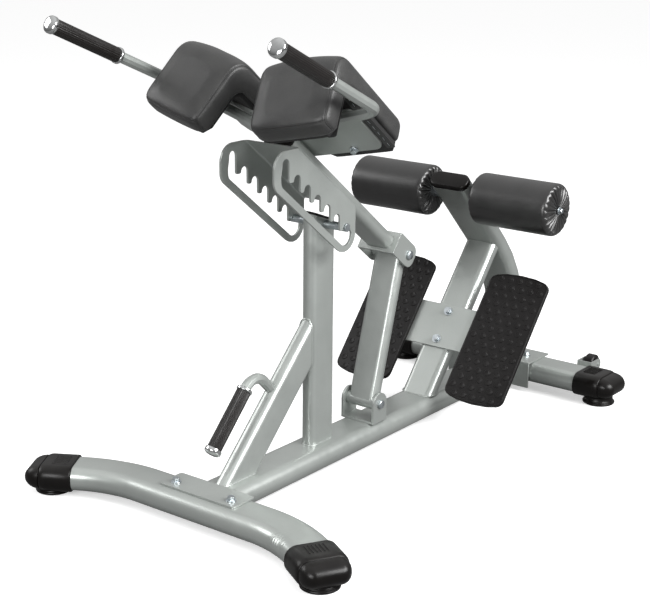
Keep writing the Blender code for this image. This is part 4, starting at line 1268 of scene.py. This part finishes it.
# %% Axle and its end bolts
def axle_mesh():
    """Bar through the post, stepped down at each end, with a washer and a small hex head."""
    place = axes_at(AXLE, (1, 0, 0), (0, 0, -1))
    end = ROLLER_END
    half = [(0.0, end + 0.0012), (0.0086, end + 0.0012), (0.0090, end + 0.0006), (0.0090, end - 0.0006),
            (0.0050, end - 0.0008), (0.0050, end - 0.0080), (0.0118, end - 0.0088), (0.0125, end - 0.0096)]
    bm = bmesh.new()
    lathe(bm, half + [(r, -z) for r, z in reversed(half)], place, 32)
    for way in (-1, 1):
        head = [(0.0, way * (end + 0.0076)), (0.0046, way * (end + 0.0074)), (0.0062, way * (end + 0.0062)),
                (0.0062, way * (end + 0.0013)), (0.0, way * (end + 0.0013))]
        lathe(bm, head, place, 6)
    return bm


axle = new_piece("roller_axle_dressed", axle_mesh(), ZINC, "base_frame", 30.0)
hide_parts("roller_axle")
print("axle runs", [round(v, 3) for v in (-ROLLER_END, ROLLER_END)])

# %% [markdown]
# ## The bent front tube
# The flat-oval tube at the front is bent cold, and on the inside of the near bend its wall is
# pressed into a few small wrinkles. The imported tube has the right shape, but flats show along its
# bend. So it is swept again in fine steps along the same centre line. The wrinkles are pressed into
# that sweep and not painted on as a bump, since they change the tube's outline as well as its
# shine.

# %% Centre line of the front tube
FRONT_X = -0.5447
FRONT_STRAIGHT = 0.148
FRONT_BEND = 0.300
FRONT_TURN = math.radians(30.5)
FRONT_TIP = 0.0060
FRONT_SHIFT = 0.003
FRONT_HEIGHT = 0.0365


def front_station(turn, beyond=0.0):
    """Point and direction on the front tube's far half, at a turn along its bend."""
    way = Vector((-math.sin(turn), math.cos(turn), 0.0))
    x = FRONT_X - FRONT_BEND * (1 - math.cos(turn))
    y = FRONT_STRAIGHT + FRONT_BEND * math.sin(turn)
    return Vector((x, y, 0.0)) + way * beyond, way


print("front tube reaches", [round(v, 3) for v in front_station(FRONT_TURN, FRONT_TIP)[0]])

# %% [markdown]
# ### Sweep and wrinkles
# The near half, which has the wrinkles, gets far more stations than the far half. The wrinkles are
# a wave along the bend inside a bell-shaped envelope, and press the wall in only on the bend's
# inner side, from the middle of its height up.

# %% Front tube
TUBE_WIDE = 0.0945
TUBE_TALL = 0.050
TUBE_CORNER = 0.0225
WRINKLE_MIDDLE = math.radians(20.5)
WRINKLE_PITCH = 0.0072
WRINKLE_SPREAD = 0.0170
WRINKLE_DEPTH = 0.0012


def flat_oval(wide, tall, radius, steps):
    """Points of a flat-oval section across and up."""
    a, b = wide / 2, tall / 2
    return round_off([(a, -b), (a, b), (-a, b), (-a, -b)], [radius] * 4, steps)


def wrinkle(turn):
    """Height of the wrinkles at a turn of the near bend, none on the far half."""
    if turn < 0:
        return 0.0
    arc = (turn - WRINKLE_MIDDLE) * (FRONT_BEND - 0.047)
    return math.cos(2 * math.pi * arc / WRINKLE_PITCH) * math.exp(-(arc / WRINKLE_SPREAD) ** 2)


def front_tube_mesh():
    """Sweep from the near end to the far end, with wrinkles on the inside of the near bend."""
    stations = [(*front_station(FRONT_TURN, FRONT_TIP + 0.0008), FRONT_TURN)]
    stations += [(*front_station(FRONT_TURN * k / 170), FRONT_TURN * k / 170) for k in range(170, -1, -1)]
    near = [(Vector((p.x, -p.y, 0.0)), Vector((-w.x, w.y, 0.0)), turn) for p, w, turn in stations]
    far = [(p, w, -1.0) for p, w, _ in reversed(stations[::4] + stations[-1:])]
    section = flat_oval(TUBE_WIDE, TUBE_TALL, TUBE_CORNER, 9)
    rings = []
    for spot, way, turn in near + far:
        across = Vector((way.y, -way.x, 0.0))
        wave = wrinkle(turn)
        ring = []
        for point in section:
            inner = max(0.0, -point.x / 0.047 - 0.50) / 0.50 * min(1.0, max(0.0, (point.y + 0.010) / 0.022))
            dent = WRINKLE_DEPTH * wave * inner
            lift = Vector((0, FRONT_SHIFT, FRONT_HEIGHT + point.y - 0.7 * dent))
            ring.append(spot + across * (point.x + dent) + lift)
        rings.append(ring)
    bm = bmesh.new()
    skin_rings(bm, rings)
    return bm


front_tube = new_piece("front_stabiliser_dressed", front_tube_mesh(), PAINT, "base_frame",
                       50.0)
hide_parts("front_stabiliser")
print("front tube", len(front_tube.data.vertices), "points")

# %% [markdown]
# ## Foot caps
# Each floor tube ends in a moulded cap: a sleeve with rounded edges, a groove, a bulging nose that
# catches the light, six ribs on top and a round foot with a flared lip below. Ready-made shapes put
# together would leave hard joints. One list of distances and insets gives sleeve, groove and nose
# in a single skin, the ribs are short beads, and the foot comes from the lathe. The same cap closes
# all four ends.

# %% Outline of a cap
CAP_WIDE = 0.105
CAP_TALL = 0.056
CAP_LENGTH = 0.1020
CAP_CORNER = 0.0245
SHOULDER = 0.055
NOSE_START = SHOULDER + 0.0148
NOSE_INSET = 0.0030
NOSE_ROUND = 0.0243


def cap_profile():
    """Distance along the cap, and how far its outline is drawn in there."""
    steps = [(0.0018, 0.0014), (0.0024, 0.0005), (0.0034, 0.0), (SHOULDER, 0.0)]
    for k in range(1, 8):
        turn = math.radians(90 * k / 7)
        steps.append((SHOULDER + 0.0125 * math.sin(turn), 0.0032 * (1 - math.cos(turn))))
    groove = ((0.0128, 0.0041), (0.0136, 0.0046), (0.0144, 0.0039))
    steps += [(SHOULDER + x, inset) for x, inset in groove]
    for k in range(15):
        turn = math.radians(90 * k / 14)
        x = NOSE_START + (CAP_LENGTH - NOSE_START) * math.sin(turn)
        steps.append((x, NOSE_INSET + NOSE_ROUND * (1 - math.cos(turn))))
    return steps


print("cap outline:", len(cap_profile()), "rings")

# %% [markdown]
# ### The whole cap
# Each ring of the cap is a flat oval, drawn in by the outline's inset. Ribs and foot sink a little
# into the sleeve, as moulded forms grow out of each other, and the foot reaches down to the floor
# from whatever height the tube has.

# %% Foot caps
RIB_COUNT = 6
RIB_PITCH = 0.0074
RIB_MIDDLE = 0.030
RIB_HALF = 0.015
RIB_RADIUS = 0.0017
FOOT_CENTRE = 0.049
FOOT_SIDE = [(0.0360, 0.0), (0.0380, 0.0012), (0.0386, 0.0040), (0.0378, 0.0056), (0.0352, 0.0068),
             (0.0346, 0.0080), (0.0350, 0.0092), (0.0340, 0.0104), (0.0336, 0.020)]
REAR_CAP = (0.5655, 0.234, 0.0465)


def cap_mesh(low):
    """Cap along local X, with its foot's underside at the given height."""
    bm = bmesh.new()
    rings = []
    for x, inset in cap_profile():
        half = CAP_TALL / 2 - inset
        points = flat_oval(CAP_WIDE - 2 * inset, 2 * half, min(CAP_CORNER, half * 0.92), 9)
        rings.append([Vector((x, p.x, p.y)) for p in points])
    skin_rings(bm, rings)
    for k in range(RIB_COUNT):
        y = (k - (RIB_COUNT - 1) / 2) * RIB_PITCH
        rib = [Vector((RIB_MIDDLE + RIB_HALF * j / 3, y, CAP_TALL / 2 + 0.0002)) for j in range(-3, 4)]
        bead(bm, rib, RIB_RADIUS, sides=10)
    foot = [(0.0, low)] + [(r, low + z) for r, z in FOOT_SIDE] + [(0.0, low + FOOT_SIDE[-1][1])]
    lathe(bm, foot, Matrix.Translation((FOOT_CENTRE, 0, 0)), 64)
    return bm


def place_cap(name, spot, heading):
    """Cap at a tube's end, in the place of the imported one."""
    bm = cap_mesh(-spot.z)
    place = axes_at(spot, heading, Vector((0, 0, 1)).cross(heading))
    bmesh.ops.transform(bm, matrix=place, verts=bm.verts)
    cap = new_piece(name + "_dressed", bm, PLASTIC, "base_frame", 38.0)
    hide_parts(name)


for side, label in SIDES:
    end, way = front_station(FRONT_TURN, FRONT_TIP)
    front_spot = Vector((end.x, side * end.y + FRONT_SHIFT, FRONT_HEIGHT))
    place_cap("front_foot_cap_" + label, front_spot, Vector((way.x, side * way.y, 0.0)))
    rear_spot = Vector((REAR_CAP[0], side * REAR_CAP[1], REAR_CAP[2]))
    place_cap("rear_foot_cap_" + label, rear_spot, Vector((0.0, side, 0.0)))
print("foot caps: 4, with", RIB_COUNT, "ribs each")

# %% [markdown]
# ## Plug on the rear post
# The plug that closes the top of the rear post is a thick moulded cushion with a rolled rim, clear
# to see between the two rollers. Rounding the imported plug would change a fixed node. So a new one
# is swept up the post's own direction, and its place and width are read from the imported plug.

# %% Post plug
ACROSS = Vector((0.0, 1.0, 0.0))
POST_UP = Vector((-0.7071, 0.0, 0.7071))
PLUG_HEIGHT = 0.0150
PLUG_SEAT = 0.0048
PLUG_ROUND = 0.0065


def plug_mesh(node, height):
    """Plug with a rolled rim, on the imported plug's place and as wide as it."""
    spots = [v.co for v in nodes[node].data.vertices]
    low = min(s.dot(POST_UP) for s in spots)
    high = max(s.dot(POST_UP) for s in spots)
    middle = sum(spots, Vector()) / len(spots)
    out = POST_UP.cross(ACROSS)
    wide = max(s.y for s in spots) - min(s.y for s in spots)
    thick = max(s.dot(out) for s in spots) - min(s.dot(out) for s in spots)
    print(node, "height", round(high - low, 4), "wide", round(wide, 4), "thick", round(thick, 4))
    base = middle - POST_UP * (middle.dot(POST_UP) - high + PLUG_SEAT)
    rim = height - PLUG_ROUND
    steps = [(-0.0004, 0.0012), (0.0003, 0.0003), (0.0012, 0.0), (rim, 0.0)]
    for degrees in range(12, 91, 13):
        turn = math.radians(degrees)
        steps.append((rim + 0.0055 * math.sin(turn), 0.0060 * (1 - math.cos(turn))))
    steps += [(height - 0.0004, 0.0100), (height, 0.0150)]
    rings = []
    for lift, inset in steps:
        points = flat_oval(wide - 2 * inset, thick - 2 * inset, (thick / 2 - inset) * 0.93, 9)
        rings.append([base + POST_UP * lift + ACROSS * p.x + out * p.y for p in points])
    bm = bmesh.new()
    skin_rings(bm, rings)
    return bm


plug = new_piece("rear_post_cap_dressed", plug_mesh("rear_post_cap", PLUG_HEIGHT), PLASTIC, "base_frame")
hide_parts("rear_post_cap")

# %% [markdown]
# ## Grips, rings and chrome ends
# Each handle carries a rubber sleeve between a chrome ring and a domed chrome end. They are turned
# in fine steps, for chrome shows every flat. The rubber has shallow flutes along it, cut into the
# mesh because they show at the sleeve's edge. One function dresses the carry handle and both pad
# handles.

# %% Outlines of a grip
TUBE_RADIUS = 0.01145
GRIP_RADIUS = 0.0150


def grip_profiles(long):
    """Closed sections of sleeve and ring, and the outline of the domed end, back from the tip."""
    sleeve = [(TUBE_RADIUS, -0.0003), (0.0143, -0.0003), (0.0149, -0.0008), (GRIP_RADIUS, -0.0016)]
    sleeve += [(GRIP_RADIUS, -long * part) for part in (0.25, 0.5, 0.75)]
    sleeve += [(GRIP_RADIUS, -long + 0.0013), (0.0149, -long + 0.0005), (0.0143, -long), (TUBE_RADIUS, -long)]
    near, far = -long - 0.0003, -long - 0.0068
    ring = [(TUBE_RADIUS, near), (0.0157, near), (0.0163, near - 0.0003), (0.0166, near - 0.0010),
            (0.0166, far + 0.0010), (0.0163, far + 0.0003), (0.0157, far), (TUBE_RADIUS, far)]
    end = [(0.0, 0.0133), (0.0045, 0.0131), (0.0085, 0.0126), (0.0115, 0.0119), (0.0138, 0.0110),
           (0.0153, 0.0101), (0.0163, 0.0092), (0.0169, 0.0082), (0.0172, 0.0070), (0.0172, 0.0058),
           (0.0172, 0.0012), (0.0170, 0.0006), (0.0165, 0.0003), (0.0, 0.0003)]
    return sleeve, ring, end


print("grip", 2 * GRIP_RADIUS, "m across")

# %% [markdown]
# ### Grips on their tubes
# A corner and a tip are enough to set a grip: they give its axis, and every place is measured back
# from the tip. The two upper handles are set in the pads' own frame, where the numbers of both
# sides are mirror images.

# %% Grips
FLUTES = 24
FLUTE_STEPS = 12
CARRY_CORNER = Vector((-0.3876, 0.0, 0.2716))
CARRY_TIP = Vector((-0.5105, 0.0, 0.1435))
CARRY_GRIP = 0.130
HANDLE_GRIP = 0.162
HANDLE_REACH = 0.353


def grip_set(label, corner, tip, long, place, body, depth):
    """Sleeve, ring and domed end on the tube that runs from a corner to its tip."""
    out = (tip - corner).normalized()
    side = out.orthogonal().normalized()
    spot = place @ axes_at(tip, side, out.cross(side))
    sleeve, ring, end = grip_profiles(long)
    for part, profile, material, slot, flutes in (("grip", sleeve, GRIP, "grip_rubber", FLUTES),
                                                  ("ring", ring, CHROME, "chrome", 0),
                                                  ("end_cap", end, CHROME, "chrome", 0)):
        bm = bmesh.new()
        lathe(bm, profile, spot, flutes * FLUTE_STEPS or 72, flutes, depth)
        made = new_piece(label + "_" + part + "_dressed", bm, material, body, 42.0)
        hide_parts(label + "_" + part)


grip_set("carry", CARRY_CORNER, CARRY_TIP, CARRY_GRIP, Matrix(), "base_frame", 0.0010)
for side, label in SIDES:
    corner = Vector((-0.549, side * 0.250, -0.0016))
    aim = Vector((-0.736, side * 0.2525, -0.0500))
    tip = corner + (aim - corner).normalized() * HANDLE_REACH
    grip_set("handle_" + label, corner, tip, HANDLE_GRIP, pad_place(side), "pad_arm", 0.0006)
print("grips: 3, with", FLUTES, "flutes each")

# %% [markdown]
# ## Weld beads
# Where one tube stands on another there is a bead of weld under the paint. A ready-made ring would
# not follow a flat-oval tube that meets the other at a slant. So each loop is found from the packed
# tube's own points on the plane of the joint, pushed out a little and laid as a rippled bead.

# %% Find a joint's loop
def joint_loop(name, point, normal, out=0.0004):
    """Loop of a tube's outermost points that lie on a plane, in order round their middle."""
    point, normal = Vector(point), Vector(normal).normalized()
    found = {}
    for vert in nodes[name].data.vertices:
        if abs((vert.co - point).dot(normal)) < 0.0004:
            found[tuple(round(v, 4) for v in vert.co)] = vert.co.copy()
    spots = list(found.values())
    middle = sum(spots, Vector()) / len(spots)
    u = normal.orthogonal().normalized()
    v = normal.cross(u)
    spots.sort(key=lambda s: math.atan2((s - middle).dot(v), (s - middle).dot(u)))
    outer = []
    for spot in spots:
        if not outer or (spot - outer[-1]).length > 0.0006:
            outer.append(spot)
    return [s + (s - middle).normalized() * out for s in outer]


print("loop round the column:", len(joint_loop("column", (0, 0, 0.0618), (0, 0, 1))), "points")

# %% [markdown]
# ### The beads themselves
# A bead of weld is laid in short steps, so its thickness ripples. Its path is first cut into even
# steps, so that the ripple is as long on a tight corner as on a flat side.

# %% Weld beads
WELD_RADIUS = 0.0019
WELD_STEP = 0.0022
WELD_RIPPLE = 0.14
JOINTS = [("column", (0, 0, 0.0618), (0, 0, 1)), ("front_strut", (0, 0, 0.0618), (0, 0, 1)),
          ("front_strut", (-0.2213, 0, 0), (1, 0, 0)), ("rear_strut", (0, 0, 0.0618), (0, 0, 1)),
          ("rear_post", (0, 0, 0.0766), (0, 0, 1))]


def weld_mesh():
    """Rippled beads round all the joints."""
    bm = bmesh.new()
    for name, point, normal in JOINTS:
        loop = joint_loop(name, point, normal)
        path = even_steps(loop + loop[:1], WELD_STEP)[:-1]
        bead(bm, path, WELD_RADIUS, closed=True, ripple=WELD_RIPPLE)
        print("weld round", name, len(path), "steps")
    return bm


new_piece("weld_beads", weld_mesh(), PAINT, "base_frame", 60.0)

# %% [markdown]
# ## Studs on the foot plates
# The foot plates are moulded with rows of low round studs, each with a shallow dish in its top,
# inside a low rim. A bump on a flat face would give no edge against the light. So one stud is drawn
# as a few rings and repeated in staggered rows over the plate's own face, and the rim follows the
# plate's own outline.

# %% Foot plate studs
FACE_UP = Vector((0.639, 0.0, 0.769))
FACE_OUT = Vector((-0.769, 0.0, 0.639))
STUD = [(0.0082, -0.0004), (0.0079, 0.0006), (0.0070, 0.0013), (0.0058, 0.0014), (0.0040, 0.0006),
        (0.0020, 0.0003)]
STUD_PITCH = 0.0245
ROW_PITCH = STUD_PITCH * 0.86
STUD_SIDES = 16
END_MARGIN = 0.0155
SIDE_MARGIN = 0.0125
STUD_TURNS = [2 * math.pi * j / STUD_SIDES for j in range(STUD_SIDES)]
STUD_WAYS = [ACROSS * math.cos(t) + FACE_UP * math.sin(t) for t in STUD_TURNS]


def stud_mesh(node):
    """Studs over one plate in staggered rows, kept inside its outline."""
    spots = [v.co for v in nodes[node].data.vertices]
    face = max(s.dot(FACE_OUT) for s in spots)
    ups = [s.dot(FACE_UP) for s in spots]
    low, high = min(ups) + END_MARGIN, max(ups) - END_MARGIN
    ys = [s.y for s in spots]
    left, right = min(ys) + SIDE_MARGIN, max(ys) - SIDE_MARGIN
    middle = (left + right) / 2
    bm = bmesh.new()
    rows = int((high - low) / ROW_PITCH)
    count = 0
    for row in range(rows + 1):
        up = low + (high - low) * row / rows
        columns = 5 if row % 2 == 0 else 6
        for column in range(columns):
            y = middle + (column - (columns - 1) / 2) * STUD_PITCH
            if not left <= y <= right:
                continue
            centre = FACE_UP * up + FACE_OUT * face + ACROSS * y
            skin_rings(bm, [[centre + FACE_OUT * lift + way * radius for way in STUD_WAYS]
                            for radius, lift in STUD])
            count += 1
    return bm, count


print("studs", round(2 * STUD[0][0], 4), "m across")

# %% [markdown]
# ### The rims
# The rim lies just inside the plate's edge. The loop finder of the welds serves here too, with its
# points moved a little towards the middle and not away from it.

# %% Rims and studs on both plates
RIM_RADIUS = 0.0015
RIM_IN = 0.0014


def rim_mesh(node):
    """Low bead round the edge of a plate's face."""
    face = max(v.co.dot(FACE_OUT) for v in nodes[node].data.vertices)
    loop = joint_loop(node, FACE_OUT * face, FACE_OUT, -RIM_IN)
    bm = bmesh.new()
    bead(bm, even_steps(loop + loop[:1], 0.0040)[:-1], RIM_RADIUS, closed=True)
    return bm


for side, label in SIDES:
    plate = "foot_plate_" + label
    new_piece("foot_plate_rim_" + label, rim_mesh(plate), RUBBER, "base_frame", 50.0)
    bm, count = stud_mesh(plate)
    new_piece("foot_plate_studs_" + label, bm, RUBBER, "base_frame", 30.0)
    print(label, "plate:", count, "studs")

# %% [markdown]
# ## Floor, light and background
# The bench stands on a plain white floor, with only a soft shadow round what touches it, in front
# of a white background. A bright floor would light the tubes from below, but the photograph shows
# their undersides dark. So the floor is white with a shadow for the rays that see it, and dark grey
# for the light that bounces. The world is a soft dome, brighter overhead, and shows as plain white
# behind the bench. Gloss sees a small share of that white, small enough that the undersides stay
# dark. Three soft lamps, at the side, the back and the front, draw the highlights along the tubes.

# %% Floor finish
GLOSS_SHARE = 0.12
FLOOR_SHADE = 0.80
FLOOR_GLOW = 0.45
BOUNCE_GREY = 0.08
WHITE = (1.0, 1.0, 1.0, 1.0)


def white_share(tree):
    """Share of the white background that a ray sees: all by camera or through glass, a little by gloss."""
    path = put(tree, 'ShaderNodeLightPath').outputs
    gloss = sums(tree, 'MULTIPLY', path["Is Glossy Ray"], GLOSS_SHARE)
    straight = sums(tree, 'MAXIMUM', path["Is Camera Ray"], path["Is Transmission Ray"])
    return sums(tree, 'MAXIMUM', straight, gloss)


def floor_finish():
    """Shadow on white for the rays that see the background, grey for the light that bounces."""
    material = bpy.data.materials.new("studio_floor")
    material.use_nodes = True
    tree = material.node_tree
    tree.nodes.clear()
    lit = put(tree, 'ShaderNodeBsdfDiffuse', {"Color": (FLOOR_SHADE, FLOOR_SHADE, FLOOR_SHADE, 1.0)})
    glow = put(tree, 'ShaderNodeEmission', {"Color": WHITE, "Strength": FLOOR_GLOW})
    white = put(tree, 'ShaderNodeAddShader', {0: lit.outputs[0], 1: glow.outputs[0]})
    grey = put(tree, 'ShaderNodeBsdfDiffuse', {"Color": (BOUNCE_GREY, BOUNCE_GREY, BOUNCE_GREY, 1.0)})
    seen = white_share(tree)
    mixed = put(tree, 'ShaderNodeMixShader', {0: seen, 1: grey.outputs[0], 2: white.outputs[0]})
    put(tree, 'ShaderNodeOutputMaterial', {"Surface": mixed.outputs[0]})
    return material


WHITE_FLOOR = floor_finish()
print("finish:", WHITE_FLOOR.name)

# %% Floor
FLOOR_HALF = 30.0
FLOOR_DROP = 0.0005

bm = bmesh.new()
bmesh.ops.create_grid(bm, x_segments=1, y_segments=1, size=FLOOR_HALF)
floor = as_object("studio_floor", bm)
floor.location.z = -FLOOR_DROP
floor.data.materials.append(WHITE_FLOOR)
print("floor", 2 * FLOOR_HALF, "m wide")

# %% [markdown]
# ### The dome
# An even grey world would light a tube the same all round. A room is brighter above, so the dome's
# strength rises with height, from a low glow that keeps the undersides from going quite black.

# %% World
def soft_world(top, side):
    """Dome that brightens overhead, with plain white behind it for the rays that see the background."""
    world = bpy.data.worlds.new("soft_dome")
    bpy.context.scene.world = world
    world.use_nodes = True
    tree = world.node_tree
    tree.nodes.clear()
    way = put(tree, 'ShaderNodeTexCoord').outputs["Generated"]
    height = put(tree, 'ShaderNodeSeparateXYZ', {0: way}).outputs["Z"]
    dome = spread(tree, height, side, top, 0.10, 0.90)
    seen = white_share(tree)
    strength = put(tree, 'ShaderNodeMix', {"Factor": seen, 2: dome, 3: 1.0}).outputs[0]
    glow = put(tree, 'ShaderNodeBackground', {"Color": WHITE, "Strength": strength})
    put(tree, 'ShaderNodeOutputWorld', {"Surface": glow.outputs[0]})


soft_world(top=0.84, side=0.15)
print("world:", bpy.context.scene.world.name)

# %% [markdown]
# ### The lamps
# Each tube in the photograph has one long highlight along its side, so the strongest lamp stands on
# the near side. The lamp at the back lifts the far edges, and the one at the front lights the bent
# faces of the pads. A table holds their places, sizes and watts, which were set by holding render
# and photograph against each other.

# %% Lamps
LAMPS = (("side_box", (0.3, -3.0, 2.1), (-0.1, 0.0, 0.60), 2.6, 1.6, 204.0),
         ("back_box", (-1.6, 3.3, 2.2), (0.0, 0.0, 0.50), 2.0, 1.4, 45.0),
         ("front_box", (-3.2, -0.7, 1.3), (0.0, 0.0, 0.50), 1.6, 1.1, 58.0))


def soft_box(name, spot, aim, wide, tall, watts):
    """Rectangular soft lamp, turned towards its aim."""
    data = bpy.data.lights.new(name, 'AREA')
    data.shape = 'RECTANGLE'
    data.size = wide
    data.size_y = tall
    data.energy = watts
    lamp = bpy.data.objects.new(name, data)
    lamp.location = spot
    lamp.rotation_euler = (Vector(aim) - Vector(spot)).to_track_quat('-Z', 'Y').to_euler()
    bpy.context.scene.collection.objects.link(lamp)


for lamp in LAMPS:
    soft_box(*lamp)
bpy.context.scene.view_settings.view_transform = 'Standard'
print("lamps:", [lamp[0] for lamp in LAMPS])
